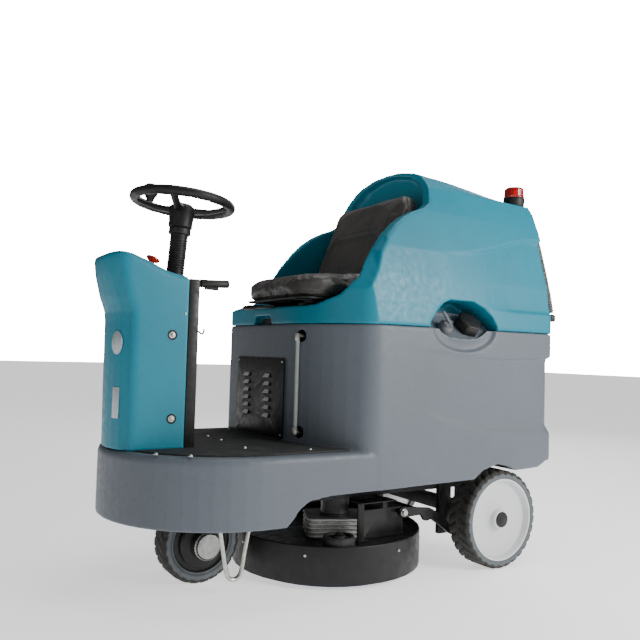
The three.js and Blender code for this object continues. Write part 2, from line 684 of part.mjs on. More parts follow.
const BEACON = { x: -708, y: 206, z: 1281 };

function beacon() {
  const at = frameAt(BEACON.x, BEACON.y, BEACON.z);
  const cut = lofted([-800, -745, -640, -500].map((x) => tankSection(x, -GAP)))
    .translate([-BEACON.x, -BEACON.y, -BEACON.z]);
  const base = turned([[0, -24], [36, -24], [39, 6], [38, 14], [0, 14]], 24).subtract(cut);
  piece('beacon_base', base, BLACK_PLASTIC, at);
  const lens = turned([[0, 14 + GAP], [38, 14 + GAP], [38, 20], [36, 48], [32, 53], [20, 55], [0, 55.5]],
    24);
  piece('beacon_lens', lens, RED, at);
}

// ---------------------------------------------------------------- seat
const SEAT = { front: 205, rear: -98, half: 218, pan: 872, top: 934 };

function seat() {
  const slideTop = 862;
  const rails = mirrored((side) => sideBlock(side, -120, 150, 104, 136, 848 + GAP, slideTop - 6))
    .add(block([-110, -110, 848 + GAP], [-80, 110, 851]))
    .add(block([110, -110, 848 + GAP], [140, 110, 851]));
  piece('seat_rails', rails, BLACK_STEEL);
  const panBottom = 866;
  const pan = raised(roundedRectangle(290, 390, 40), panBottom, SEAT.pan, 0, 6).translate([48, 0, 0]);
  const runner = (side) => block([-60, side * 120 - 20, slideTop - 6 + GAP],
    [120, side * 120 + 20, panBottom + 1])
    .add(block([-60, side * 120 - 24, slideTop - 10], [120, side * 120 - 16 - GAP * 2, panBottom + 1]))
    .add(block([-60, side * 120 + 16 + GAP * 2, slideTop - 10], [120, side * 120 + 24, panBottom + 1]));
  piece('seat_pan', pan.add(runner(1)).add(runner(-1)), BLACK_STEEL);

  const cushionPlan = new THREE.Shape();
  const [front, rear, half] = [SEAT.front, SEAT.rear, SEAT.half];
  cushionPlan.moveTo(rear + 30, -half);
  cushionPlan.lineTo(front - 95, -half);
  cushionPlan.absellipse(front - 95, -half + 95, 95, 95, -Math.PI / 2, 0);
  cushionPlan.absellipse(front - 95, half - 95, 95, 95, 0, Math.PI / 2);
  cushionPlan.lineTo(rear + 30, half);
  cushionPlan.absarc(rear + 30, half - 30, 30, Math.PI / 2, Math.PI);
  cushionPlan.absarc(rear + 30, -half + 30, 30, Math.PI, 1.5 * Math.PI);
  const crown = outline([[260, 870], [260, 924], [205, 931], [150, 940], [60, 945], [-120, 962],
    [-200, 980], [-200, 870]]);
  const cushion = raised(cushionPlan, SEAT.pan + GAP, 1010, 18, 8)
    .intersect(across(crown, -400, 400))
    .subtract(backShape(-GAP));
  piece('seat_cushion', cushion, VINYL);
  piece('seat_backrest', backShape(0), VINYL);

  const lever = bentRod([[60, -168, 858], [150, -168, 856], [190, -168, 853.6], [214, -158, 848],
    [226, -110, 841], [226, -20, 841], [224, 40, 841], [214, 64, 841]], 5, 18, 8);
  piece('seat_slide_bar', lever, BLACK_STEEL);
}

/** The backrest: a leaning pad that thins towards its top. */
function backShape(inset) {
  const side = outline([[-62 - inset, 905 + inset], [-100, 1010], [-148 - inset, 1130],
    [-186 - inset, 1222],
    [-204, 1248 - inset], [-226, 1256 - inset], [-252 + inset, 1240], [-252 + inset, 1150],
    [-225 + inset, 1050], [-190 + inset, 940], [-150, 905 + inset]]);
  const leaning = across(side, -212 + inset, 212 - inset, 14);
  const front = new THREE.Shape();
  const [half, corner] = [211 - inset, 62];
  front.moveTo(-half, 880);
  front.lineTo(half, 880);
  front.absarc(half - corner, 1256 - corner, corner, 0, Math.PI / 2);
  front.absarc(-half + corner, 1256 - corner, corner, Math.PI / 2, Math.PI);
  return leaning.intersect(forward(front, -400, 100));
}

// ---------------------------------------------------------------- steering cowl
/** The cowl's top against x, from the panel forward, as (x, z). */
const COWL_TOP = [[470, 903], [535, 911], [575, 918], [655, 951], [690, 963], [722, 967], [744, 960],
  [757, 944], [764, 925]];

function steeringCowl() {
  const heights = [DECK_TOP + GAP, 602, 770, 798, 820, 841, 872, 907, 945, 985];
  const skin = lofted(heights.map((z) => cowlSection(z, 0)));
  const inner = lofted([DECK_TOP - 20, ...heights.slice(1)].map((z) => cowlSection(z, 5, COWL_REAR - 20)));
  const above = (drop) => across(outline([...COWL_TOP.map(([x, z]) => [x, z - drop]), [900, 925 - drop],
    [900, 1100], [470, 1100]]), -200, 200);
  const cowl = skin.subtract(above(0))
    .subtract(inner.subtract(above(5)))
    .subtract(columnClearance(COLUMN_RADIUS + 3))
    .subtract(estopHole());
  piece('steering_cowl', cowl, TEAL);

  const [half, top] = [COWL_HALF_WIDTH, 902];
  const tray = block([PANEL_REAR, -half, DECK_TOP + GAP], [COWL_REAR - GAP, half, top])
    .subtract(block([PANEL_REAR + 3, -half + 3, DECK_TOP - 5], [COWL_REAR + 5, half - 3, top - 3]))
    .subtract(columnClearance(COLUMN_RADIUS + 3))
    .subtract(bar([PANEL_REAR - 5, 62, 846], [PANEL_REAR + 6, 62, 846], 9 + GAP, 20))
    .subtract(bar([PANEL_REAR - 5, -62, 846], [PANEL_REAR + 6, -62, 846], 6 + GAP, 20))
    .subtract(bar([PANEL_REAR - 5, 92, 891], [PANEL_REAR + 2.6, 92, 891], 9, 16));
  const hook = bentRod([[PANEL_REAR + 2, 100, 752], [478, 100, 751], [470, 100, 744], [464, 100, 750],
    [463, 100, 760]], 3, 12, 6);
  piece('column_back_plate', tray.add(hook), BLACK_STEEL);
  cowlControls();
}

const ESTOP = { x: 606, y: 6, z: 931.2, lean: -Math.atan2(33, 80), rise: 14 };

/** Something turned about Z, stood on the cowl's sloping top where the stop button is. */
function onEstop(shape) {
  const lean = THREE.MathUtils.radToDeg(ESTOP.lean);
  return shape.rotate([0, lean, 0]).translate([ESTOP.x, ESTOP.y, ESTOP.z]);
}

const estopHole = () => onEstop(disc(11 + GAP, -30, 30, 20));

function cowlControls() {
  const { rise } = ESTOP;
  const collar = turned([[0, -26], [11, -26], [11, 0.4], [24, 0.4], [22, rise], [18, rise + 4], [9.5, rise + 4],
    [9.5, -20], [0, -20]], 24);
  piece('estop_collar', onEstop(collar), finish(0xd8b21a, 0.5));
  const button = turned([[0, -12], [8, -12], [8, rise + 11], [15, rise + 13], [21, rise + 19], [20, rise + 24],
    [10, rise + 27], [0, rise + 27.5]], 24);
  piece('estop_button', onEstop(button), RED);

  const panelFace = PANEL_REAR - GAP;
  const keyAt = frameAt(panelFace, -62, 846);
  const barrel = bar([10, 0, 0], [-8, 0, 0], 6, 20).add(block([-30, -1.6, -9], [-7, 1.6, 9]));
  piece('key_switch', barrel, ZINC, keyAt);
  const knobAt = frameAt(panelFace, 62, 846);
  const knob = bar([10, 0, 0], [0, 0, 0], 9, 20).add(bar([0, 0, 0], [-14, 0, 0], 17, 12));
  piece('speed_knob', knob, BLACK_PLASTIC, knobAt);
  const display = block([panelFace - 8, -36, 822], [panelFace, 36, 870]);
  piece('display_unit', display, BLACK_PLASTIC);

  const lever = bentRod([[panelFace - 0.3, 92, 893], [470, 92, 894], [456, 92, 895]], 6, 6, 8)
    .add(bar([476, 92, 893.4], [388, 92, 897], 12, 16))
    .add(block([420, 88, 876], [462, 96, 890]));
  piece('lift_lever', lever, BLACK_PLASTIC);

  const badge = new THREE.Shape();
  badge.absellipse(0, 0, 24, 33, 0, 2 * Math.PI);
  piece('badge_plate', onFlank(badge, 712, 2), ZINC);
  piece('data_plate', onFlank(roundedRectangle(30, 86, 4), 546, 1), ALUMINIUM);
}

/** A thin plate on the cowl's left front face, centred at height z. */
function onFlank(shape, z, thick) {
  const nose = along(COWL_NOSE, z);
  const y = COWL_HALF_WIDTH * 0.585;
  const near = new THREE.Vector2(nose - 34 * 0.72 ** 2, COWL_HALF_WIDTH * 0.72);
  const far = new THREE.Vector2(nose - 34 * 0.45 ** 2, COWL_HALF_WIDTH * 0.45);
  const tangent = near.clone().sub(far).normalize();
  const normal = new THREE.Vector3(tangent.y, -tangent.x, 0);
  const plate = new THREE.ExtrudeGeometry(shape, { depth: thick, bevelEnabled: false, curveSegments: 8 });
  plate.applyMatrix4(new THREE.Matrix4().makeBasis(
    new THREE.Vector3(tangent.x, tangent.y, 0), new THREE.Vector3(0, 0, 1), normal));
  const middle = near.add(far).multiplyScalar(0.5);
  const out = normal.multiplyScalar(0.9);
  return solid(moved(plate, middle.x + out.x, y + out.y, z));
}

// ---------------------------------------------------------------- steering
/** A group whose Z axis is the steering column and whose origin is the rim's centre. */
const columnFrame = () => frameAt(WHEEL_CENTRE.x, WHEEL_CENTRE.y, WHEEL_CENTRE.z, [0, -COLUMN_LEAN, 0]);

/** Angles of the spokes, in degrees from straight ahead. */
const SPOKES = [-32, 58, 148];

function steering() {
  const at = columnFrame();
  const tube = [[17, -98], [COLUMN_RADIUS, -98], [COLUMN_RADIUS, -724], [17, -724], [17, -98]];
  const flange = turned([[17, -724], [60, -724], [60, -718], [17, -718], [17, -724]], 24);
  const collar = turned([[17, -99], [33, -99], [33, -80], [17, -80], [17, -99]], 24);
  piece('steering_column', turned(tube, 20).add(flange).add(collar), BLACK_PLASTIC, at);

  const rim = new THREE.TorusGeometry(WHEEL_RADIUS, RIM_RADIUS, 8, 36);
  let wheel = solid(rim)
    .add(turned([[0, -816], [14, -816], [14, -80 + GAP], [36, -80 + GAP], [38, -40], [39, -14], [30, -6],
      [0, -4]], 20));
  for (const turn of SPOKES) {
    const arm = lofted([[30, -22, 15, 11], [80, -22, 12, 9], [118, -12, 11, 8],
      [WHEEL_RADIUS - 3, -2, 11, 8]]
      .map(([r, z, half, deep]) => [[-half, -deep], [half, -deep], [half, deep], [-half, deep]]
        .map(([y, up]) => new THREE.Vector3(r, y, z + up))));
    wheel = wheel.add(arm.rotate([0, 0, turn]));
  }
  piece('steering_wheel', wheel, BLACK_PLASTIC, at);
  const knobRadius = 101;
  const knobTurn = THREE.MathUtils.degToRad(SPOKES[0]);
  const knobAt = frameAt(knobRadius * Math.cos(knobTurn), knobRadius * Math.sin(knobTurn), 1,
    [0, 0, 0], at);
  const knob = turned([[0, -6], [10, -6], [13, 4], [20, 16], [24, 30], [22, 42], [14, 48], [0, 50]], 16);
  piece('spinner_knob', knob, BLACK_PLASTIC, knobAt);

  const fork = frameAt(KINGPIN_X, 0, 0);
  const [plateZ, legY] = [252, -62];
  const yoke = disc(30, plateZ, 288 - GAP, 24)
    .add(block([-70, legY - 8, plateZ], [70, 50, plateZ + 8]))
    .add(block([-38, legY - 8, 150], [38, legY, plateZ + 4]))
    .add(bar([0, legY - 8, DRIVE_RADIUS], [0, legY, DRIVE_RADIUS], 46, 24))
    .add(block([-38, legY - 8, 118], [38, legY, 160]))
    .add(disc(16, 280, 372, 20))
    .add(disc(74, 350, 358, 28));
  piece('steer_fork', yoke, BLACK_STEEL, fork);
  const wheelAt = frameAt(0, 0, DRIVE_RADIUS, [-Math.PI / 2, 0, 0], fork);
  const t = DRIVE_HALF_TREAD;
  const tyre = turned([[88, -t], [112, -t], [120, -t + 6], [DRIVE_RADIUS, -t + 16], [DRIVE_RADIUS, t - 16],
    [120, t - 6], [112, t], [88, t], [88, -t]], 30);
  piece('drive_tyre', tyre, RUBBER, wheelAt);
  const hub = turned([[0, legY + GAP], [40, legY + GAP], [44, -t + 6], [88 - GAP, -t + 6],
    [88 - GAP, t - 8], [72, t - 8],
    [72, t + 6], [66, t + 12], [44, t + 14], [40, t + 50], [36, t + 53], [0, t + 53]], 30);
  piece('drive_hub', hub, BLACK_STEEL, wheelAt);
}

function pedal() {
  const y = -150;
  const floor = DECK_TOP + 5 + GAP;
  const [hinge, hingeZ] = [486.5, 439];
  const ear = (y0) => block([hinge - 7.5, y0, floor + 3], [hinge + 7.5, y0 + 6, floor + 24]);
  const bracket = block([454, y - 30, floor], [494, y + 30, floor + 4]).add(ear(y - 30)).add(ear(y + 24));
  piece('pedal_bracket', bracket, BLACK_STEEL);
  const profile = [[hinge - 4.5, 436], [572, 452], [574, 453], [574, 459], [hinge + 1.5, 443],
    [hinge - 4.5, 443]];
  const plate = across(outline(profile), y - 23, y + 23)
    .add(bar([hinge, y - 24 + GAP, hingeZ], [hinge, y + 24 - GAP, hingeZ], 5, 12));
  piece('accelerator_pedal', plate, RUBBER);
}

// ---------------------------------------------------------------- rear wheels
function rearWheels() {
  for (const [hand, side] of [['left', 1], ['right', -1]]) {
    const at = frameAt(REAR_AXLE_X, side * (REAR_OUTER - REAR_WIDTH / 2), REAR_RADIUS,
      [-side * Math.PI / 2, 0, 0]);
    const h = REAR_WIDTH / 2;
    const R = REAR_RADIUS;
    const tyre = turned([[139, -h], [150, -h], [158, -h + 5], [R, -h + 14], [R, h - 14], [158, h - 5],
      [150, h], [139, h], [139, -h]], 30);
    piece(`rear_tyre_${hand}`, tyre, RUBBER, at);
    const r = 139 - GAP;
    const rim = turned([[16, -h + 12], [r, -h + 12], [r, h - 1], [130, h - 1], [124, h - 20],
      [60, h - 26], [34, h - 20], [32, h - 4], [16, h - 4], [16, -h + 12]], 30);
    piece(`rear_rim_${hand}`, rim, WHITE_RIM, at);
    const cap = turned([[0, h - 4 + GAP], [26, h - 4 + GAP], [25, h + 1], [12, h + 1], [12, h + 3],
      [0, h + 3]], 16);
    piece(`rear_hub_cap_${hand}`, cap, BLACK_PLASTIC, at);
  }
  const [reach, inner] = [REAR_OUTER - 8, REAR_OUTER - REAR_WIDTH];
  const axle = bar([REAR_AXLE_X, -reach, REAR_RADIUS], [REAR_AXLE_X, reach, REAR_RADIUS], 16 - GAP, 20)
    .add(block([REAR_AXLE_X - 22, -inner + 24, REAR_RADIUS - 22],
      [REAR_AXLE_X + 22, inner - 24, REAR_RADIUS + 22]));
  piece('rear_axle', axle, BLACK_STEEL);
}

// ---------------------------------------------------------------- brush deck
function brushDeck() {
  const at = frameAt(BRUSH_X, BRUSH_Y, 0);
  const [R, top, low] = [BRUSH_COVER_RADIUS, BRUSH_COVER_TOP, BRUSH_COVER_BOTTOM];
  const plate = top - 14;
  const cover = turned([[30, plate - 4], [R - 4, plate - 4], [R - 4, low], [R, low], [R, top - 2],
    [R - 2, top], [R - 6, top], [R - 6, plate], [30, plate], [30, plate - 4]], 36);
  const stud = disc(8, plate - 2, plate + 42, 16)
    .add(disc(13, plate + 34 + GAP, plate + 42, 6))
    .translate([58 - BRUSH_X, 236 - BRUSH_Y, 0]);
  piece('brush_deck', cover.add(stud), BLACK_STEEL, at);
  const brush = turned([[0, 62], [120, 62], [262, 52], [278, 0.5], [110, 0.5], [100, 46], [0, 46]], 36)
    .add(disc(18, 60, plate + 2, 20));
  piece('disc_brush', brush, finish(0x2f5f8f, 0.9), at);

  const turn = -25;
  const fin = (level) => raised(roundedRectangle(196, 158, 24), plate + level, plate + level + 6, 0, 1);
  const gearbox = [4, 17, 30, 43, 56].map(fin)
    .reduce((whole, slab) => whole.add(slab), raised(roundedRectangle(184, 146, 22), plate + GAP, plate + 62, 0, 1))
    .subtract(disc(18 + GAP * 2, 0, plate + 4, 20))
    .rotate([0, 0, turn]).translate([28, 92, 0]);
  piece('brush_gearbox', gearbox, ALUMINIUM, at);
  const motor = turned([[0, plate + 62 + GAP], [52, plate + 62 + GAP], [52, plate + 68],
    [46, plate + 70], [46, 244], [40, 250], [0, 250]], 20);
  piece('brush_motor', motor, ZINC, frameAt(28, 92, 0, [0, 0, 0], at));

  const rollerAt = frameAt(58, 236, 0);
  const roller = turned([[9, plate + 2], [44, plate + 2], [50, plate + 6], [50, plate + 28],
    [46, plate + 34],
    [38, plate + 34], [36, plate + 28], [20, plate + 28], [18, plate + 34], [9, plate + 34],
    [9, plate + 2]], 24);
  piece('bumper_roller', roller, RUBBER, rollerAt);
}

function deckCarriage() {
  const plate = BRUSH_COVER_TOP - 14 + GAP;
  const side = 206;
  const tip = ARM_TIP;
  let bracket = block([-212, -side, 150], [-207, side, 206])
    .add(block([-212, -side, plate], [-190, side, plate + 5]))
    .add(block([-40, side + 18, plate], [-16, side + 23, 238]))
    .add(block([-60, side - 5, plate], [-16, side + 23, plate + 5]))
    .add(block([-150, side - 12, 237], [-12, 250, 240]));
  for (const s of [1, -1]) {
    const [y0, y1] = s > 0 ? [side - 5, side] : [-side, -side + 5];
    bracket = bracket
      .add(block([-212, y0, plate], [-52, y1, 206]))
      .add(block([-150, y0, 200], [-130, y1, 238]))
      .add(bar([tip.x, s * (side - 4), tip.y], [tip.x, s * (ARM_Y + 16), tip.y], 7, 16));
  }
  bracket = bracket.subtract(block([-149, -side - 1, 206], [-120, -side + 6, 240]));
  piece('deck_bracket', bracket, BLACK_STEEL);

  const armOutline = outline([[tip.x + 15, tip.y - 9], [tip.x + 15, tip.y + 12], [tip.x, tip.y + 17],
    [-240, 206], [-300, 199], [-330, 184], [-394, 132], [-416, 122], [-414, 106], [-400, 100], [-384, 108],
    [-345, 137], [-305, 162], [-286, 158], [-276, 160], [-262, 180], [-240, 180], [tip.x, tip.y - 17]]);
  let arms = bar([-322, -ARM_Y - 6, 171], [-322, ARM_Y + 6, 171], 9, 16);
  for (const s of [1, -1]) {
    const [y0, y1] = s > 0 ? [ARM_Y, ARM_Y + 12] : [-ARM_Y - 12, -ARM_Y];
    const holes = bar([tip.x, y0 - 5, tip.y], [tip.x, y1 + 5, tip.y], 7 + GAP, 16)
      .add(bar([ARM_PIVOT.x, y0 - 5, ARM_PIVOT.y], [ARM_PIVOT.x, y1 + 5, ARM_PIVOT.y], 8 + GAP, 16));
    arms = arms.add(across(armOutline, y0, y1).subtract(holes));
  }
  piece('lift_arms', arms, BLACK_STEEL);
}

// ---------------------------------------------------------------- chassis
const RAIL = { y0: 148, y1: 184, z0: 246, z1: 292 };

function chassis() {
  const { y0, y1, z0, z1 } = RAIL;
  const side = (s) => sideBlock(s, -690, 500, y0, y1, z0, z1)
    .add(sideBlock(s, -548, -492, y0, y1, REAR_RADIUS + 22 + GAP, z0 + 2))
    .add(sideBlock(s, -430, -376, y1 - 2, y1 + 14, 96, z1))
    .add(bar([ARM_PIVOT.x, s * y1, ARM_PIVOT.y], [ARM_PIVOT.x, s * (ARM_Y + 16), ARM_PIVOT.y], 8, 16))
    .add(sideBlock(s, 110, 150, y0, y1, z1 - 2, 296))
    .add(sideBlock(s, -330, -290, y0, y1, z1 - 2, 302));
  const frame = mirrored(side)
    .add(block([-690, -y1, z0], [-650, y1, z1]))
    .add(block([-376, -y1, z0], [-340, y1, z1]))
    .add(block([150, -y1, z0], [190, y1, z1]))
    .add(block([345, -y1, z1 - 2], [495, y1, z1 + 8]))
    .add(disc(40, z1 - 4, 344, 28).translate([KINGPIN_X, 0, 0]))
    .subtract(disc(16 + GAP * 2, 200, 400, 24).translate([KINGPIN_X, 0, 0]));
  piece('chassis_frame', frame, BLACK_STEEL);
  for (const [hand, s] of [['left', 1], ['right', -1]]) {
    const y = s * 176;
    const loop = bentRod([[434, y, 252], [427, y, 210], [413, y, 135], [402, y, 78], [393, y, 54], [377, y, 46],
      [360, y, 54], [351, y, 78], [341, y, 140], [330, y, 195], [320, y, 252]], 6.5, 20, 6);
    const trim = block([250, y - 20, RAIL.z0 - GAP], [500, y + 20, 300]);
    piece(`tie_down_loop_${hand}`, loop.subtract(trim), ZINC);
  }
}

machine.position.x = FRAME_SHIFT;
chassis();
piece('solution_tank', solutionTank(), GREY);
footplateMat();
sightTube();
ventPanel();
batteries();
fillPort();
recoveryTankPieces();
drainHose();
beacon();
seat();
steeringCowl();
steering();
pedal();
rearWheels();
brushDeck();
deckCarriage();

export default machine;
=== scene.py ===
"""Ride-on floor scrubber dryer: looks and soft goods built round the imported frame."""
import json
import math
import random

import bmesh
import bpy
import numpy as np
from mathutils import Matrix, Vector, noise

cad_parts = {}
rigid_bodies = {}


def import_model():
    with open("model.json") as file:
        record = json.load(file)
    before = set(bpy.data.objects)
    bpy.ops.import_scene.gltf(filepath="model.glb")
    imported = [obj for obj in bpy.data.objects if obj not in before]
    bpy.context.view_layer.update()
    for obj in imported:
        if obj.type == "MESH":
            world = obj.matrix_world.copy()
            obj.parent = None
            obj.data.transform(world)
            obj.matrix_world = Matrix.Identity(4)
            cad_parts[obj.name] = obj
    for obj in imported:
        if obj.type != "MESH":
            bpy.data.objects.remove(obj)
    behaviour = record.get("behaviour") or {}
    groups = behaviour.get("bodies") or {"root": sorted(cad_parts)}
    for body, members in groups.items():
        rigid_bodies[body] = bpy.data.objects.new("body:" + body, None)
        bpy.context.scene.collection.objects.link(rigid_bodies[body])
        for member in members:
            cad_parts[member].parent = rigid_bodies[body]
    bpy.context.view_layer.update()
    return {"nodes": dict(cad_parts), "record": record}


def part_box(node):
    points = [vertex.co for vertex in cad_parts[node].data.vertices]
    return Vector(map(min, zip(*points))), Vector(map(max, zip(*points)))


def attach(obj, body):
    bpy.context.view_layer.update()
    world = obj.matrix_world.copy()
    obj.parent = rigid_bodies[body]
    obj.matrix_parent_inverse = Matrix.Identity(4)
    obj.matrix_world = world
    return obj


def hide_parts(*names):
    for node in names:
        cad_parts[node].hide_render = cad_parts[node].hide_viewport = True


for leftover in list(bpy.data.objects):
    bpy.data.objects.remove(leftover, do_unlink=True)

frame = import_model()
NODES = frame["nodes"]
RECORD = frame["record"]
BODY_OF = {n: b for b, ns in RECORD["behaviour"]["bodies"].items() for n in ns}
SLOT_OF = {s["node"]: s["material_slot"] for s in RECORD["subparts"]}
MM = 0.001


# ---------------------------------------------------------------- materials
def linear(srgb):
    return [c / 12.92 if c <= 0.04045 else ((c + 0.055) / 1.055) ** 2.4 for c in srgb]


class Shader:
    """One procedural material, built node by node round a Principled shader."""

    def __init__(self, name, colour, rough=0.5, metallic=0.0):
        self.material = bpy.data.materials.new(name)
        self.material.use_nodes = True
        self.tree = self.material.node_tree
        self.surface = self.tree.nodes["Principled BSDF"]
        self.base = (*linear([c / 255 for c in colour]), 1)
        self.surface.inputs["Base Color"].default_value = self.base
        self.surface.inputs["Roughness"].default_value = rough
        self.surface.inputs["Metallic"].default_value = metallic
        self.colour = None
        self.height = None
        self.coords = self.node("ShaderNodeTexCoord").outputs["Object"]

    def node(self, kind, **settings):
        made = self.tree.nodes.new(kind)
        for key, value in settings.items():
            if hasattr(made, key):
                setattr(made, key, value)
            else:
                made.inputs[key].default_value = value
        return made

    def link(self, a, b):
        self.tree.links.new(a, b)

    def noise(self, scale, detail=2.0, rough=0.5, stretch=None, distortion=0.0):
        tex = self.node("ShaderNodeTexNoise")
        tex.inputs["Scale"].default_value = scale
        tex.inputs["Detail"].default_value = detail
        tex.inputs["Roughness"].default_value = rough
        tex.inputs["Distortion"].default_value = distortion
        self.link(self.stretched(stretch), tex.inputs["Vector"])
        return tex.outputs["Fac"]

    def stretched(self, stretch):
        if stretch is None:
            return self.coords
        mapping = self.node("ShaderNodeMapping")
        mapping.inputs["Scale"].default_value = stretch
        self.link(self.coords, mapping.inputs["Vector"])
        return mapping.outputs["Vector"]

    def cells(self, scale, feature="F1", randomness=1.0, stretch=None):
        tex = self.node("ShaderNodeTexVoronoi")
        tex.feature = feature
        tex.inputs["Scale"].default_value = scale
        tex.inputs["Randomness"].default_value = randomness
        self.link(self.stretched(stretch), tex.inputs["Vector"])
        return tex.outputs["Distance"]

    def span(self, value, low, high, to_low=0.0, to_high=1.0):
        remap = self.node("ShaderNodeMapRange")
        self.link(value, remap.inputs["Value"])
        limits = {"From Min": low, "From Max": high, "To Min": to_low, "To Max": to_high}
        for key, number in limits.items():
            remap.inputs[key].default_value = number
        return remap.outputs["Result"]

    def maths(self, operation, a, b=None):
        made = self.node("ShaderNodeMath")
        made.operation = operation
        for socket, value in zip(made.inputs, (a, b)):
            if value is None:
                continue
            if isinstance(value, (int, float)):
                socket.default_value = value
            else:
                self.link(value, socket)
        return made.outputs["Value"]

    def tint(self, factor, colour):
        """Mixes a colour over what is there so far, by a varying factor."""
        mix = self.node("ShaderNodeMix")
        mix.data_type = "RGBA"
        if self.colour is None:
            mix.inputs["A"].default_value = self.base
        else:
            self.link(self.colour, mix.inputs["A"])
        mix.inputs["B"].default_value = (*linear([c / 255 for c in colour]), 1)
        self.link(factor, mix.inputs["Factor"])
        self.colour = mix.outputs["Result"]
        self.link(self.colour, self.surface.inputs["Base Color"])
        return self

    def roughness(self, value, low, high):
        self.link(self.span(value, 0.3, 0.7, low, high), self.surface.inputs["Roughness"])
        return self

    def bump(self, value, depth, strength=1.0):
        """Adds relief of that depth in metres."""
        made = self.node("ShaderNodeBump")
        made.inputs["Distance"].default_value = depth
        made.inputs["Strength"].default_value = strength
        self.link(value, made.inputs["Height"])
        if self.height is not None:
            self.link(self.height, made.inputs["Normal"])
        self.height = made.outputs["Normal"]
        self.link(self.height, self.surface.inputs["Normal"])
        return self

    def edges(self, low, high):
        """How sharply the surface turns outwards: 1 on an edge."""
        return self.span(self.node("ShaderNodeNewGeometry").outputs["Pointiness"], low, high)

    def sideways(self):
        """How squarely the surface faces along the object's Y: 1 on a wheel's side."""
        split = self.node("ShaderNodeSeparateXYZ")
        self.link(self.node("ShaderNodeTexCoord").outputs["Normal"], split.inputs["Vector"])
        return self.maths("ABSOLUTE", split.outputs["Y"])

    def set(self, **sockets):
        for key, value in sockets.items():
            self.surface.inputs[key.replace("_", " ")].default_value = value
        return self


def moulded_plastic(name, colour, pale, deep, rough):
    """Rotationally moulded polyethylene: a fine pebble, slow waves, pale scuffs and a little dust."""
    m = Shader(name, colour, rough)
    broad = m.noise(3.2, 3)
    m.tint(m.span(broad, 0.35, 0.75, 0.0, 0.5), deep)
    m.tint(m.span(m.noise(420, 2), 0.45, 0.8, 0.0, 0.22), pale)
    scuffs = m.noise(26, 6, 0.75, stretch=(1, 1, 0.16))
    m.tint(m.span(scuffs, 0.66, 0.76, 0.0, 0.28), pale)
    m.tint(m.edges(0.53, 0.62), pale)
    m.roughness(m.noise(60, 4), rough - 0.07, rough + 0.1)
    m.bump(m.noise(7, 1), 0.0012, 0.35)
    m.bump(m.noise(900, 3, 0.6), 0.00022, 0.55)
    m.set(**{"Specular_IOR_Level": 0.35})
    return m.material


def coated_steel(name, colour, rough=0.42, wear=(104, 102, 96)):
    """Powder coat over steel: orange peel, a few rubbed edges, faint dust."""
    m = Shader(name, colour, rough)
    m.tint(m.span(m.noise(9, 4, 0.6), 0.5, 0.8, 0.0, 0.2), [min(255, c + 16) for c in colour])
    rubbed = m.maths("MULTIPLY", m.edges(0.56, 0.7), m.span(m.noise(140, 5, 0.7), 0.5, 0.66))
    m.tint(m.maths("MULTIPLY", rubbed, 0.45), wear)
    m.roughness(m.noise(45, 4), rough - 0.06, rough + 0.14)
    m.bump(m.noise(1500, 2), 0.00012, 0.5)
    m.bump(m.noise(11, 2), 0.0006, 0.15)
    m.set(**{"Specular_IOR_Level": 0.35})
    return m.material


def plated(name, colour, rough=0.3):
    """Zinc plate: cloudy, with fine drawn lines and dull patches."""
    m = Shader(name, colour, rough, 1.0)
    m.tint(m.span(m.cells(70, randomness=0.9), 0.1, 0.9, 0.0, 0.4), [int(c * 0.62) for c in colour])
    m.tint(m.span(m.noise(14, 5, 0.7), 0.55, 0.75, 0.0, 0.35), (150, 138, 112))
    m.roughness(m.noise(55, 5), rough - 0.08, rough + 0.2)
    m.bump(m.noise(500, 3, stretch=(1, 1, 0.08)), 0.00008, 0.4)
    return m.material


def cast(name, colour):
    """Sand-cast aluminium: coarse grain and darker hollows."""
    m = Shader(name, colour, 0.5, 0.85)
    m.tint(m.span(m.noise(60, 6, 0.7), 0.42, 0.66, 0.0, 0.55), [int(c * 0.6) for c in colour])
    m.tint(m.edges(0.53, 0.62), (226, 226, 222))
    m.roughness(m.noise(90, 4), 0.38, 0.65)
    m.bump(m.cells(700), 0.0003, 0.6)
    m.bump(m.noise(150, 4), 0.0004, 0.4)
    return m.material


def soft_rubber(name, colour, grey, rough=0.7, grain=1100):
    """Moulded rubber: greyed on its edges, dusty, with a fine skin."""
    m = Shader(name, colour, rough)
    m.tint(m.span(m.noise(24, 6, 0.7), 0.4, 0.75, 0.0, 0.55), grey)
    m.tint(m.maths("MULTIPLY", m.edges(0.52, 0.62), 0.6), grey)
    m.roughness(m.noise(40, 4), rough - 0.1, rough + 0.1)
    m.bump(m.noise(grain, 3), 0.00016, 0.6)
    m.set(**{"Specular_IOR_Level": 0.3})
    return m.material


def tread_rubber():
    """A black tread on a grey non-marking sidewall, dusty, with worn lug edges."""
    m = Shader("tyre_rubber", (34, 34, 32), 0.8)
    m.tint(m.span(m.noise(18, 6, 0.7), 0.4, 0.7, 0.0, 0.5), (58, 56, 50))
    m.tint(m.span(m.noise(210, 5, 0.7), 0.55, 0.72, 0.0, 0.3), (110, 104, 92))
    m.tint(m.span(m.sideways(), 0.93, 0.985), (88, 94, 98))
    m.tint(m.maths("MULTIPLY", m.span(m.noise(30, 6, 0.7), 0.5, 0.75), 0.25), (70, 72, 72))
    m.roughness(m.noise(80, 3), 0.7, 0.92)
    m.bump(m.noise(700, 4, 0.65), 0.0004, 0.5)
    return m.material


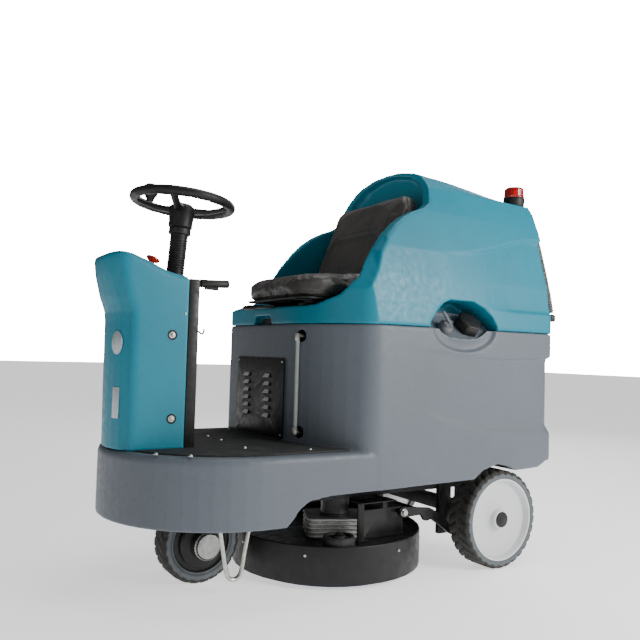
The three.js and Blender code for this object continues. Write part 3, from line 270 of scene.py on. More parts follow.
def seat_vinyl():
    """Grained vinyl: a web of small creases, warmer and shinier where it's sat on."""
    m = Shader("seat_vinyl", (38, 36, 34), 0.46)
    m.tint(m.span(m.noise(7, 4), 0.4, 0.7, 0.0, 0.6), (54, 49, 45))
    m.tint(m.maths("MULTIPLY", m.edges(0.52, 0.6), 0.35), (92, 86, 80))
    m.tint(m.span(m.noise(55, 6, 0.7), 0.62, 0.78, 0.0, 0.3), (96, 92, 86))
    m.roughness(m.noise(16, 5), 0.36, 0.6)
    m.bump(m.cells(620, "DISTANCE_TO_EDGE"), 0.00035, 0.5)
    m.bump(m.cells(1700, "DISTANCE_TO_EDGE"), 0.00012, 0.4)
    m.bump(m.noise(20, 3, 0.6, stretch=(1, 0.35, 1)), 0.0022, 0.35)
    m.set(**{"Coat_Weight": 0.12, "Coat_Roughness": 0.4, "Sheen_Weight": 0.08})
    return m.material


def gloss(name, colour, rough=0.2, coat=0.4):
    """Shiny injection-moulded plastic under a clear coat."""
    m = Shader(name, colour, rough)
    m.tint(m.span(m.noise(30, 4), 0.5, 0.8, 0.0, 0.3), [int(c * 0.7) for c in colour])
    m.roughness(m.noise(120, 4), rough - 0.05, rough + 0.12)
    m.bump(m.noise(300, 2), 0.00005, 0.3)
    m.set(**{"Coat_Weight": coat})
    return m.material


def red_lens():
    """Clear red plastic, smooth and glossy."""
    m = Shader("red_lens", (178, 18, 20), 0.12)
    m.tint(m.span(m.noise(60, 3), 0.5, 0.8, 0.0, 0.4), (110, 6, 10))
    m.roughness(m.noise(90, 3), 0.06, 0.2)
    m.set(**{"Transmission_Weight": 0.35, "IOR": 1.49, "Coat_Weight": 0.6})
    return m.material


def clear_hose():
    """Clear vinyl tube, slightly clouded."""
    m = Shader("clear_tube", (214, 220, 218), 0.14)
    m.tint(m.span(m.noise(34, 4), 0.5, 0.8, 0.0, 0.5), (168, 172, 160))
    m.roughness(m.noise(70, 3), 0.08, 0.26)
    m.set(**{"Transmission_Weight": 0.55, "IOR": 1.4})
    return m.material


def corrugated():
    """Dark hose whose ridges have worn pale."""
    m = Shader("corrugated_hose", (52, 50, 50), 0.45)
    m.tint(m.span(m.noise(20, 5), 0.45, 0.7, 0.0, 0.5), (96, 88, 80))
    m.tint(m.maths("MULTIPLY", m.edges(0.52, 0.62), 0.8), (188, 184, 178))
    m.roughness(m.noise(60, 4), 0.36, 0.6)
    m.bump(m.noise(600, 3), 0.0002, 0.4)
    return m.material


def bristles():
    """Packed brush fibres, drawn out along the brush's axis."""
    m = Shader("blue_bristle", (38, 74, 128), 0.7)
    m.tint(m.span(m.noise(900, 2, stretch=(1, 1, 0.04)), 0.4, 0.65, 0.0, 0.7), (14, 30, 62))
    m.roughness(m.noise(100, 3), 0.6, 0.85)
    m.bump(m.noise(1100, 3, stretch=(1, 1, 0.04)), 0.001, 0.9)
    return m.material


def foil(name, colour, dark):
    """A blank foil label, slightly cloudy."""
    m = Shader(name, colour, 0.35, 0.5)
    m.tint(m.span(m.noise(40, 4), 0.5, 0.75, 0.0, 0.4), dark)
    m.roughness(m.noise(90, 3), 0.25, 0.5)
    m.bump(m.noise(400, 2), 0.00005, 0.3)
    return m.material


def mat_rubber():
    """Foot mat: rows of fine studs, trodden grey in places."""
    m = Shader("mat_rubber", (34, 36, 36), 0.68)
    m.tint(m.span(m.noise(12, 6, 0.7), 0.45, 0.75, 0.0, 0.6), (74, 76, 76))
    m.tint(m.span(m.cells(330, randomness=0.0), 0.2, 0.5, 0.0, 0.4), (18, 19, 19))
    m.roughness(m.noise(30, 4), 0.58, 0.82)
    m.bump(m.cells(330, randomness=0.0), 0.0007, 0.7)
    return m.material


MATERIALS = {
    "teal_plastic": moulded_plastic("teal_polyethylene", (6, 118, 140), (52, 156, 174),
                                    (2, 98, 120), 0.4),
    "grey_plastic": moulded_plastic("grey_polyethylene", (92, 99, 107), (128, 134, 140),
                                    (80, 86, 94), 0.46),
    "black_plastic": soft_rubber("black_plastic", (14, 14, 14), (44, 44, 43), 0.46, 1600),
    "black_steel": coated_steel("black_powder_coat", (13, 14, 14), 0.42),
    "frame_steel": coated_steel("frame_powder_coat", (18, 18, 19), 0.5),
    "zinc": plated("zinc_plate", (196, 196, 190)),
    "cast_aluminium": cast("cast_aluminium", (176, 176, 174)),
    "label_foil": foil("label_foil", (176, 184, 190), (120, 134, 144)),
    "vinyl": seat_vinyl(),
    "tyre_rubber": tread_rubber(),
    "rubber": soft_rubber("black_rubber", (28, 28, 29), (78, 78, 78)),
    "rim_plastic": moulded_plastic("rim_grey_white", (206, 208, 210), (232, 232, 232),
                                   (184, 184, 184), 0.42),
    "grey_valve": soft_rubber("grey_valve", (84, 88, 94), (128, 130, 132), 0.45, 1500),
    "red_plastic": gloss("red_button", (196, 20, 20)),
    "yellow_plastic": gloss("yellow_ring", (222, 170, 24), 0.3, 0.2),
    "red_lens": red_lens(),
    "clear_tube": clear_hose(),
    "blue_bristle": bristles(),
    "battery_case": soft_rubber("battery_case", (36, 36, 38), (70, 70, 72), 0.5),
    "motor_zinc": coated_steel("motor_case", (58, 58, 60), 0.38),
    "mat": mat_rubber(),
    "hose": corrugated(),
}


# ---------------------------------------------------------------- making pieces
def place(obj, nodes, material=None, body=None):
    """Puts a finished piece in for CAD nodes: body, material and slot are theirs."""
    nodes = [nodes] if isinstance(nodes, str) else list(nodes)
    slot = SLOT_OF[nodes[0]]
    obj.data.materials.clear()
    obj.data.materials.append(MATERIALS[material or slot])
    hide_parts(*nodes)
    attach(obj, body or BODY_OF[nodes[0]])
    return obj


def added(obj, body, slot, material=None):
    """Puts in a small piece that no CAD node stands for, such as a screw."""
    obj.data.materials.clear()
    obj.data.materials.append(MATERIALS[material or slot])
    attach(obj, body)
    return obj


def new_object(name, mesh):
    obj = bpy.data.objects.new(name, mesh)
    bpy.context.scene.collection.objects.link(obj)
    return obj


def from_bmesh(name, bm, smooth=True):
    mesh = bpy.data.meshes.new(name)
    bmesh.ops.recalc_face_normals(bm, faces=bm.faces)
    bm.to_mesh(mesh)
    bm.free()
    if smooth:
        mesh.shade_smooth()
    return new_object(name, mesh)


def welded(node):
    """A CAD node's mesh as a bmesh with its split corners joined."""
    bm = bmesh.new()
    bm.from_mesh(NODES[node].data)
    bmesh.ops.remove_doubles(bm, verts=bm.verts, dist=2e-6)
    return bm


def applied(obj):
    """Turns an object's modifiers into plain geometry."""
    bpy.context.view_layer.update()
    graph = bpy.context.evaluated_depsgraph_get()
    mesh = bpy.data.meshes.new_from_object(obj.evaluated_get(graph))
    obj.modifiers.clear()
    obj.data = mesh
    return obj


def sharpened(obj, angle=32):
    """Smooth shading that stops at real edges."""
    obj.data.shade_smooth()
    obj.data.set_sharp_from_angle(angle=math.radians(angle))
    return obj


def refined(node, width=0.0008, segments=2, angle=30, flat=0.6):
    """A pressed or machined piece: the CAD solid with every real edge rounded."""
    bm = welded(node)
    bmesh.ops.dissolve_limit(bm, angle_limit=math.radians(flat), verts=bm.verts, edges=bm.edges)
    obj = from_bmesh(node + "_finished", bm)
    bevel = obj.modifiers.new("edges", "BEVEL")
    bevel.limit_method = "ANGLE"
    bevel.angle_limit = math.radians(angle)
    bevel.width = width
    bevel.segments = segments
    bevel.harden_normals = False
    bevel.use_clamp_overlap = True
    applied(obj)
    sharpened(obj, 40)
    return place(obj, node)


def moulded(node, voxel, rounds, keep, soft_above=None, soft_rounds=0):
    """A rotationally moulded shell: no edge on it is sharp, and its top can be rounder still."""
    bm = welded(node)
    obj = from_bmesh(node + "_moulding", bm)
    remesh = obj.modifiers.new("skin", "REMESH")
    remesh.mode = "VOXEL"
    remesh.voxel_size = voxel
    remesh.use_smooth_shade = True
    smooth = obj.modifiers.new("soften", "SMOOTH")
    smooth.factor = 0.5
    smooth.iterations = rounds
    if soft_above is not None:
        applied(obj)
        bm = bmesh.new()
        bm.from_mesh(obj.data)
        top = [v for v in bm.verts if v.co.z > soft_above]
        for _ in range(soft_rounds):
            bmesh.ops.smooth_vert(bm, verts=top, factor=0.5,
                                  use_axis_x=True, use_axis_y=True, use_axis_z=True)
        bm.to_mesh(obj.data)
        bm.free()
    if keep < 1:
        fewer = obj.modifiers.new("fewer", "DECIMATE")
        fewer.ratio = keep
    applied(obj)
    obj.data.shade_smooth()
    return place(obj, node)


def bridged(bm, pairs, steps):
    """Faces between pairs of rings; a ring of one point is a tip."""
    for a, b in pairs:
        for i in range(steps):
            after = (i + 1) % steps
            quad = [a[i % len(a)], a[after % len(a)], b[after % len(b)], b[i % len(b)]]
            corners = list(dict.fromkeys(quad))
            if len(corners) > 2:
                bm.faces.new(corners)


def lathe(name, profile, centre, axis, steps=48, closed=True):
    """A solid of revolution: profile is (radius, distance along the axis) in millimetres."""
    axis = Vector(axis).normalized()
    side = axis.orthogonal().normalized()
    other = axis.cross(side)
    bm = bmesh.new()
    rings = []
    for radius, along in profile:
        middle = Vector(centre) + axis * along * MM
        if radius < 1e-6:
            rings.append([bm.verts.new(middle)])
            continue
        ring = []
        for i in range(steps):
            turn = 2 * math.pi * i / steps
            outwards = side * math.cos(turn) + other * math.sin(turn)
            ring.append(bm.verts.new(middle + outwards * radius * MM))
        rings.append(ring)
    pairs = list(zip(rings, rings[1:]))
    if closed and len(rings[0]) > 1:
        pairs.append((rings[-1], rings[0]))
    bridged(bm, pairs, steps)
    return sharpened(from_bmesh(name, bm), 38)


def swept(name, points, radius_at, sides=20, steps_per=6):
    """A tube along a smooth line; radius_at gives its radius at each distance along, in metres."""
    line = []
    pts = [Vector(p) for p in points]
    ext = [pts[0] * 2 - pts[1], *pts, pts[-1] * 2 - pts[-2]]
    for i in range(1, len(ext) - 2):
        p0, p1, p2, p3 = ext[i - 1:i + 3]
        for k in range(steps_per):
            t = k / steps_per
            line.append(0.5 * ((2 * p1) + (p2 - p0) * t + (2 * p0 - 5 * p1 + 4 * p2 - p3) * t * t
                               + (3 * p1 - p0 - 3 * p2 + p3) * t ** 3))
    line.append(pts[-1])
    lengths = [0.0]
    for a, b in zip(line, line[1:]):
        lengths.append(lengths[-1] + (b - a).length)
    bm = bmesh.new()
    rings = []
    normal = (line[1] - line[0]).orthogonal().normalized()
    for i, p in enumerate(line):
        ahead = line[min(i + 1, len(line) - 1)] - line[max(i - 1, 0)]
        tangent = ahead.normalized()
        normal = (normal - tangent * normal.dot(tangent)).normalized()
        other = tangent.cross(normal)
        r = radius_at(lengths[i])
        turns = (2 * math.pi * k / sides for k in range(sides))
        rings.append([bm.verts.new(p + (normal * math.cos(a) + other * math.sin(a)) * r) for a in turns])
    for a, b in zip(rings, rings[1:]):
        for k in range(sides):
            bm.faces.new([a[k], a[(k + 1) % sides], b[(k + 1) % sides], b[k]])
    bm.faces.new(rings[0][::-1])
    bm.faces.new(rings[-1])
    return from_bmesh(name, bm)


def joined(name, objects):
    """Several meshes as one object."""
    bm = bmesh.new()
    for o in objects:
        bm.from_mesh(o.data)
        bpy.data.objects.remove(o, do_unlink=True)
    mesh = bpy.data.meshes.new(name)
    bm.to_mesh(mesh)
    bm.free()
    obj = new_object(name, mesh)
    return sharpened(obj, 38)


def fastener(centre, axis, radius, height, washer=0.0, recess="hex"):
    """A screw or bolt head on a surface, with its washer and its recess, in millimetres."""
    parts = []
    stand = 0.0
    if washer:
        stand = 1.4
        disc = [(0, -1.5), (washer, -1.5), (washer, 0.3), (washer - 1.2, stand),
                (radius * 0.8, stand), (0, stand)]
        parts.append(lathe("w", disc, centre, axis, 28, closed=False))
    top = height + stand
    if recess == "hex":
        profile = [(0, -1), (radius, -1), (radius, height * 0.72 + stand), (radius * 0.86, top), (0, top)]
        steps = 6
    else:
        profile = [(0, -1), (radius, -1), (radius, height * 0.4 + stand),
                   (radius * 0.82, height * 0.85 + stand), (radius * 0.5, top), (radius * 0.36, top),
                   (radius * 0.3, height * 0.4 + stand), (0, height * 0.35 + stand)]
        steps = 20
    parts.append(lathe("h", profile, centre, axis, steps, closed=False))
    return parts


# ---------------------------------------------------------------- mouldings and metalwork
# voxel size in metres, rounds of smoothing, share of faces kept, then where the top is softer
MOULDINGS = {
    "solution_tank": (0.004, 5, 0.25),
    "recovery_tank": (0.004, 6, 0.25),
    "steering_cowl": (0.003, 10, 0.3, 0.9, 45),
    "recovery_lid": (0.003, 4, 0.3),
}
for moulding, settings in MOULDINGS.items():
    moulded(moulding, *settings)

# the width of each piece's rounded edges in metres; 0 leaves the edges as they are
METALWORK = {
    "chassis_frame": 0.002,
    "vent_panel": 0.0012,
    "sight_elbow_lower": 0.0008,
    "sight_elbow_upper": 0.0008,
    "sight_tube": 0,
    "battery_front_left": 0.003,
    "battery_front_right": 0.003,
    "battery_rear_left": 0.003,
    "battery_rear_right": 0.003,
    "fill_valve_body": 0.0012,
    "fill_valve_handle": 0.0015,
    "filler_cap": 0.003,
    "vacuum_motor": 0.001,
    "drain_hose_plug": 0.0012,
    "beacon_base": 0.001,
    "seat_rails": 0.001,
    "seat_pan": 0.0015,
    "seat_slide_bar": 0,
    "column_back_plate": 0.0015,
    "estop_collar": 0.0008,
    "estop_button": 0.001,
    "key_switch": 0.0006,
    "speed_knob": 0.0012,
    "display_unit": 0.002,
    "lift_lever": 0.0015,
    "badge_plate": 0.0004,
    "data_plate": 0.0003,
    "steer_fork": 0.0015,
    "drive_hub": 0.0012,
    "pedal_bracket": 0.001,
    "accelerator_pedal": 0.001,
    "rear_rim_left": 0.0012,
    "rear_rim_right": 0.0012,
    "rear_hub_cap_left": 0.0015,
    "rear_hub_cap_right": 0.0015,
    "rear_axle": 0.0015,
    "brush_deck": 0.0012,
    "disc_brush": 0.001,
    "brush_gearbox": 0.0012,
    "brush_motor": 0.0015,
    "bumper_roller": 0.001,
    "deck_bracket": 0.0008,
    "lift_arms": 0.0015,
    "footplate_mat": 0.001,
    "spinner_knob": 0,
}
AS_DRAWN = {"width": 0.0001, "segments": 1, "angle": 80}
FINISHED = {}
for node, width in METALWORK.items():
    FINISHED[node] = refined(node, width) if width else refined(node, **AS_DRAWN)
FINISHED["footplate_mat"].data.materials[0] = MATERIALS["mat"]


# ---------------------------------------------------------------- steering wheel and column
LEAN = math.radians(4.5)
COLUMN_AXIS = Vector((-math.sin(LEAN), 0, math.cos(LEAN)))
WHEEL_CENTRE = Vector((0.5345, 0, 1.143))


def wheel_frame():
    """Columns are the wheel's own x, y and z; the origin is its centre."""
    z = COLUMN_AXIS
    y = Vector((0, 1, 0))
    x = y.cross(z)
    return Matrix((x, y, z)).transposed().to_4x4()


RIM_RADIUS = 0.1445
RIM_THICKNESS = 0.0143
FINGER_GRIPS = 18
SPOKE_TURNS = (-32, 58, 148)
# distance out, height, half width and half depth along a spoke, in millimetres
SPOKE_SECTIONS = [
    (24, -22, 17, 11),
    (40, -23, 15.5, 10),
    (62, -22.5, 12.5, 8.5),
    (84, -20.5, 11, 7.5),
    (108, -14, 10.4, 7),
    (126, -7, 11.2, 7.4),
    (141, -2.5, 13, 8),
]
HUB_PROFILE = [
    (0, -816), (13.8, -816), (13.8, -79), (33, -79), (36, -76), (36, -60), (38, -42), (38.6, -22),
    (38, -16), (35, -12), (31, -10.5), (30, -8), (28, -5.5), (22, -4.4), (0, -4),
]


def wheel_rim(at):
    """The round grip, with finger hollows on its underside."""
    turns, sides = 144, 20
    bm = bmesh.new()
    grid = []
    for i in range(turns):
        a = 2 * math.pi * i / turns
        wave = max(0.0, math.cos(a * FINGER_GRIPS)) ** 2
        ring = []
        for k in range(sides):
            b = 2 * math.pi * k / sides
            grip = 1 - 0.07 * wave * max(0.0, -math.sin(b) * 0.8 - math.cos(b) * 0.5)
            r = RIM_RADIUS + RIM_THICKNESS * math.cos(b) * grip
            z = RIM_THICKNESS * math.sin(b) * grip
            ring.append(bm.verts.new(at @ Vector((r * math.cos(a), r * math.sin(a), z))))
        grid.append(ring)
    for i in range(turns):
        here, beyond = grid[i], grid[(i + 1) % turns]
        for k in range(sides):
            after = (k + 1) % sides
            bm.faces.new([here[k], beyond[k], beyond[after], here[after]])
    return from_bmesh("rim", bm)


def spoke(at, degrees):
    """A flattened arm from the hub out to the rim, dished along its top."""
    sides = 16
    turn = Matrix.Rotation(math.radians(degrees), 4, "Z")
    bm = bmesh.new()
    rings = []
    for r, z, half, deep in SPOKE_SECTIONS:
        ring = []
        for k in range(sides):
            b = 2 * math.pi * k / sides
            cx, cz = math.cos(b), math.sin(b)
            y = half * math.copysign(abs(cx) ** 0.55, cx)
            up = deep * math.copysign(abs(cz) ** 0.55, cz)
            dish = -2.2 * (1 - (y / half) ** 2) if cz > 0 else 0
            ring.append(bm.verts.new(at @ turn @ (Vector((r, y, z + up + dish)) * MM)))
        rings.append(ring)
    for a, b in zip(rings, rings[1:]):
        for k in range(sides):
            after = (k + 1) % sides
            bm.faces.new([a[k], a[after], b[after], b[k]])
    bm.faces.new(rings[0][::-1])
    bm.faces.new(rings[-1])
    return from_bmesh("spoke", bm)


def steering_wheel():
    at = Matrix.Translation(WHEEL_CENTRE) @ wheel_frame()
    rim = wheel_rim(at)
    spokes = [spoke(at, degrees) for degrees in SPOKE_TURNS]
    hub = lathe("hub", HUB_PROFILE, WHEEL_CENTRE, COLUMN_AXIS, 56, closed=False)
    return joined("steering_wheel_grip", [rim, hub, *spokes])


def steering_column():
    """The column's sleeve is a wrinkled boot between two plain collars."""
    rng = random.Random(7)
    profile = [(17.5, -98.5), (32.6, -98.5), (33, -97), (33, -82), (31.5, -80.4), (17.5, -80.4)]
    collar = lathe("collar", profile, WHEEL_CENTRE, COLUMN_AXIS, 40)
    boot = [(17.5, -99.5)]
    z = -100.0
    while z > -300:
        bulge = 26.6 - 1.5 * (1 - abs(math.sin(z * 0.42 + rng.uniform(-0.25, 0.25))) ** 0.7)
        boot.append((bulge, z))
        z -= 1.6
    boot += [(25.6, -302), (26.4, -304), (26.4, -717), (17.5, -717)]
    sleeve = lathe("sleeve", boot, WHEEL_CENTRE, COLUMN_AXIS, 40)
    foot = [(17.5, -723.6), (59.6, -723.6), (59.6, -719), (58.4, -718.2), (17.5, -718.2)]
    flange = lathe("flange", foot, WHEEL_CENTRE, COLUMN_AXIS, 40)
    return joined("steering_column_sleeve", [collar, sleeve, flange])


place(steering_wheel(), "steering_wheel")
place(steering_column(), "steering_column")


# ---------------------------------------------------------------- tyres
def tyre(name, node, width, outer, inner, lugs, groove, shoulder):
    """A solid tyre with slanted grooves cut across its tread."""
    low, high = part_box(node)
    centre = (low + high) / 2
    around, across = lugs * 8, 22
    bm = bmesh.new()
    section = []
    for k in range(across + 1):
        s = -1 + 2 * k / across
        y = s * width / 2
        edge = max(0.0, (abs(s) - (1 - shoulder)) / shoulder)
        section.append((y, outer - 0.012 * edge ** 2.2))
    rings = []
    for i in range(around):
        a = 2 * math.pi * i / around
        ring = []
        for k, (y, r) in enumerate(section):
            s = y / (width / 2)
            phase = (a * lugs / (2 * math.pi) + 0.85 * abs(s) + (0.5 if s > 0 else 0)) % 1.0
            cut = 1.0 if phase < 0.3 else 0.0
            middle = 1.0 if abs(s) < 0.07 else 0.0
            inside = 1.0 if 0.16 < abs(s) else 0.0
            depth = groove * max(cut * inside, middle)
            if k in (0, across):
                depth *= 0.9
            floor_r = r - depth
            ring.append(bm.verts.new(centre + Vector((floor_r * math.cos(a), y, floor_r * math.sin(a)))))
        sidewall = [(width / 2 - 0.0005, outer - 0.026), (width / 2 - 0.003, outer - 0.03),
                    (width / 2 - 0.003, inner + 0.001), (width / 2 - 0.006, inner)]
        for y, r in sidewall:
            ring.append(bm.verts.new(centre + Vector((r * math.cos(a), y, r * math.sin(a)))))
        for y, r in reversed(sidewall):
            ring.append(bm.verts.new(centre + Vector((r * math.cos(a), -y, r * math.sin(a)))))
        rings.append(ring)
    count = len(rings[0])
    for i in range(around):
        a, b = rings[i], rings[(i + 1) % around]
        for k in range(count):
            bm.faces.new([a[k], a[(k + 1) % count], b[(k + 1) % count], b[k]])
    return sharpened(from_bmesh(name, bm), 45)


REAR_TYRE = {"width": 0.092, "outer": 0.1616, "inner": 0.139, "lugs": 30, "groove": 0.0045, "shoulder": 0.2}
DRIVE_TYRE = {"width": 0.084, "outer": 0.123, "inner": 0.088, "lugs": 24, "groove": 0.003, "shoulder": 0.34}
for hand in ("left", "right"):
    place(tyre(f"rear_tyre_{hand}_tread", f"rear_tyre_{hand}", **REAR_TYRE), f"rear_tyre_{hand}")
place(tyre("drive_tyre_tread", "drive_tyre", **DRIVE_TYRE), "drive_tyre")


# ---------------------------------------------------------------- hose, loops and beacon
def drain_hose():
    route = [(-738.5, 244, 1142), (-746.5, 246, 1136), (-751.5, 251, 1122), (-754.5, 267, 1060),
             (-759.5, 290, 960), (-762.5, 304, 890), (-763.5, 305, 869)]
    pitch, root, ridge = 0.0078, 0.0136, 0.0022

    def radius(s):
        return root + ridge * (0.5 - 0.5 * math.cos(2 * math.pi * s / pitch))

    tube = swept("tube", [Vector(p) * MM for p in route], radius, 24, 34)
    cuff = lathe("cuff", [(0, 0), (19.6, 0), (20, -2), (20, -10), (18, -12), (0, -12)],
                 Vector((-0.7284, 0.244, 1.142)), (1, 0, 0), 32, closed=False)
    return joined("drain_hose_corrugated", [tube, cuff])


place(drain_hose(), "drain_hose", "hose")


LOOP_BAR_RADIUS = 0.0064


def tie_down_loop(side):
    """A bent round bar, welded under the deck's rail."""
    y = side * 176
    route = [(463.5, y, 244), (456.5, y, 210), (442.5, y, 135), (431.5, y, 78), (422.5, y, 54),
             (406.5, y, 46), (389.5, y, 54), (380.5, y, 78), (370.5, y, 140), (359.5, y, 195),
             (350.5, y, 244)]
    return swept("tie_down_loop", [Vector(p) * MM for p in route], lambda s: LOOP_BAR_RADIUS, 20, 8)


for side, hand in ((1, "left"), (-1, "right")):
    place(tie_down_loop(side), f"tie_down_loop_{hand}")


FLUTES = 24


def beacon_lens():
    low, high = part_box("beacon_lens")
    centre = (low + high) / 2
    base = Vector((centre.x, centre.y, low.z))
    bm = bmesh.new()
    steps = 96
    profile = [(36.8, 0), (37.8, 1), (37.8, 4), (36.6, 5.2)]
    profile += [(36.6 - 2 * k / 8, 5.2 + 27 * k / 8) for k in range(1, 9)]
    profile += [(33.6, 34.6), (31.4, 37.2), (28, 39), (20, 40.4), (10, 40.9), (0, 41)]
    rings = []
    for r, z in profile:
        if r == 0:
            rings.append([bm.verts.new(base + Vector((0, 0, z * MM)))])
            continue
        ring = []
        for i in range(steps):
            a = 2 * math.pi * i / steps
            flute = 0.9 * (0.5 + 0.5 * math.cos(a * FLUTES)) if 5 < z < 34 else 0.0
            r_here = (r - flute) * MM
            ring.append(bm.verts.new(base + Vector((r_here * math.cos(a), r_here * math.sin(a), z * MM))))
        rings.append(ring)
    bridged(bm, zip(rings, rings[1:]), steps)
    bm.faces.new(rings[0][::-1])
    return sharpened(from_bmesh("beacon_lens_fluted", bm), 50)


place(beacon_lens(), "beacon_lens")


# ---------------------------------------------------------------- seat
CLOTH_FRAMES = 16


def pressed_cushion(name, node, inset, push, cap):
    """Foam under vinyl: the CAD solid, shrunk by inset and blown up with cloth pressure up to cap."""
    bm = welded(node)
    obj = from_bmesh(name, bm)
    remesh = obj.modifiers.new("skin", "REMESH")
    remesh.mode = "VOXEL"
    remesh.voxel_size = 0.006
    soften = obj.modifiers.new("soften", "SMOOTH")
    soften.factor = 0.5
    soften.iterations = 6
    applied(obj)
    bm = bmesh.new()
    bm.from_mesh(obj.data)
    bm.normal_update()
    for v in bm.verts:
        v.co -= v.normal * inset
    bm.to_mesh(obj.data)
    bm.free()
    rest = np.array([v.co for v in obj.data.vertices], float)
    cloth = obj.modifiers.new("pad", "CLOTH")
    cloth.settings.quality = 4
    cloth.settings.mass = 0.4
    cloth.settings.use_pressure = True
    cloth.settings.uniform_pressure_force = push
    cloth.settings.tension_stiffness = 22
    cloth.settings.compression_stiffness = 22
    cloth.settings.bending_stiffness = 1.5
    cloth.settings.effector_weights.gravity = 0
    cloth.collision_settings.use_collision = False
    for step in range(1, CLOTH_FRAMES + 1):
        bpy.context.scene.frame_set(step)
    graph = bpy.context.evaluated_depsgraph_get()
    done = obj.evaluated_get(graph).to_mesh()
    now = np.array([v.co for v in done.vertices], float)
    obj.evaluated_get(graph).to_mesh_clear()
    obj.modifiers.clear()
    bpy.context.scene.frame_set(1)
    shift = now - rest
    far = np.linalg.norm(shift, axis=1, keepdims=True)
    rest = rest + shift * np.minimum(1.0, cap / np.maximum(far, 1e-9))
    obj.data.vertices.foreach_set("co", rest.ravel())
    return obj


def creased(obj, relief):
    """Subdivides a pad, then moves each point along its normal by relief(point, normal), in metres."""
    subdivide = obj.modifiers.new("fine", "SUBSURF")
    subdivide.levels = 1
    subdivide.render_levels = 1
    applied(obj)
    bm = bmesh.new()
    bm.from_mesh(obj.data)
    bm.normal_update()
    moves = [(v, v.normal * relief(v.co, v.normal)) for v in bm.verts]
    for v, move in moves:
        v.co += move
    bm.to_mesh(obj.data)
    bm.free()
    obj.data.shade_smooth()
    return obj


def groove(distance, width, depth):
    return -depth * math.exp(-(distance / width) ** 2)


def panel_depth(across, along, half, half_length, corner, soft):
    """1 well inside a rounded rectangle, 0 outside it, with a soft edge."""
    dx = abs(across) - half + corner
    dz = abs(along) - half_length + corner
    outside = math.hypot(max(dx, 0.0), max(dz, 0.0)) + min(max(dx, dz), 0.0) - corner
    t = min(1.0, max(0.0, 0.5 - outside / soft))
    return t * t * (3 - 2 * t)


def cushion_relief(p, n):
    low = SEAT_BOX[0]
    d = 0.0
    if n.z > 0.2:
        d -= 0.007 * panel_depth(p.y, p.x - 0.02, 0.15, 0.13, 0.07, 0.07)
    side = 1 - abs(n.z)
    d += groove(p.z - (low.z + 0.016), 0.0022, 0.0035) * side
    d += 0.0014 * noise.noise(p * 22) + 0.0006 * noise.noise(p * 70)
    return d


def back_relief(p, n):
    low, high = BACK_BOX
    d = 0.0
    if n.x > 0.2:
        d -= 0.0095 * panel_depth(p.y, p.z - 0.92, 0.150, 0.202, 0.055, 0.022)
    side = 1 - abs(n.x)
    d += groove(p.x - (low.x + 0.022 + (high.z - p.z) * 0.42), 0.0026, 0.003) * side * (n.x < 0.4)
    d += 0.0013 * noise.noise(p * 20) + 0.0006 * noise.noise(p * 66)
    return d


SEAT_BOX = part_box("seat_cushion")
BACK_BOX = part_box("seat_backrest")
FOAM = {"inset": 0.006, "push": 4.0, "cap": 0.012}
cushion = creased(pressed_cushion("seat_cushion_vinyl", "seat_cushion", **FOAM), cushion_relief)
backrest = creased(pressed_cushion("seat_backrest_vinyl", "seat_backrest", **FOAM), back_relief)
for pad, node in ((cushion, "seat_cushion"), (backrest, "seat_backrest")):
    place(pad, node)


# ---------------------------------------------------------------- fasteners
def mirrored_places(places):
    """Each (x, y, z) and its twin across the machine's middle."""
    return [(x, y * side, z) for x, y, z in places for side in (1, -1)]


def screws(name, body, slot, places, axis_of, radius, height, washer, recess):
    """A set of like screws on one body, joined as one piece."""
    heads = []
    for place_mm in places:
        heads += fastener(Vector(place_mm) * MM, axis_of(place_mm), radius, height, washer, recess)
    return added(joined(name, heads), body, slot)


def sideways_out(at):
    return Vector((0, math.copysign(1, at[1]), 0))


def upwards(at):
    return Vector((0, 0, 1))


def forwards(at):
    return Vector((1, 0, 0))


DECK_CENTRE = (-17.5, 2)
SKIRT_RADIUS = 313.6
SKIRT_SCREW_Z = 100


def radial_out(at):
    return Vector((at[0] - DECK_CENTRE[0], at[1] - DECK_CENTRE[1], 0)).normalized()


COWL_SCREWS = [(594.5, 118, 738), (588.5, 118, 502)]
CUP_SUNK = 0.4
screws("cowl_screws", "machine", "zinc", mirrored_places(COWL_SCREWS), sideways_out,
       radius=5.6, height=3.4, washer=10.0, recess="socket")
CUP_PROFILE = [(10.2, 0), (14.5, 0), (14.2, 1.0), (12.4, 1.9), (10.4, 1.4)]
cups = []
for at in mirrored_places([(x, y - CUP_SUNK, z) for x, y, z in COWL_SCREWS]):
    cups.append(lathe("cup", CUP_PROFILE, Vector(at) * MM, sideways_out(at), 32))
added(joined("cowl_screw_cups", cups), "machine", "black_plastic")
screws("cowl_small_screws", "machine", "zinc", mirrored_places([(558.5, 118, 800)]), sideways_out,
       radius=3.6, height=2.4, washer=0, recess="socket")

MAT_TOP = 419.8
MAT_SCREWS = mirrored_places([(660.5, 209, MAT_TOP), (588.5, 274, MAT_TOP), (225.5, 280, MAT_TOP)])
for x, y in ((389.5, 187), (380.5, -105), (381.5, 1), (389.5, -250)):
    MAT_SCREWS.append((x, y, MAT_TOP))
screws("mat_screws", "machine", "zinc", MAT_SCREWS, upwards,
       radius=4.6, height=3.0, washer=7.0, recess="socket")

PANEL_SCREWS = [(204.6, y, z) for y in (-258, 60) for z in (434, 668)]
screws("panel_screws", "machine", "zinc", PANEL_SCREWS, forwards,
       radius=4.2, height=3.0, washer=0, recess="socket")

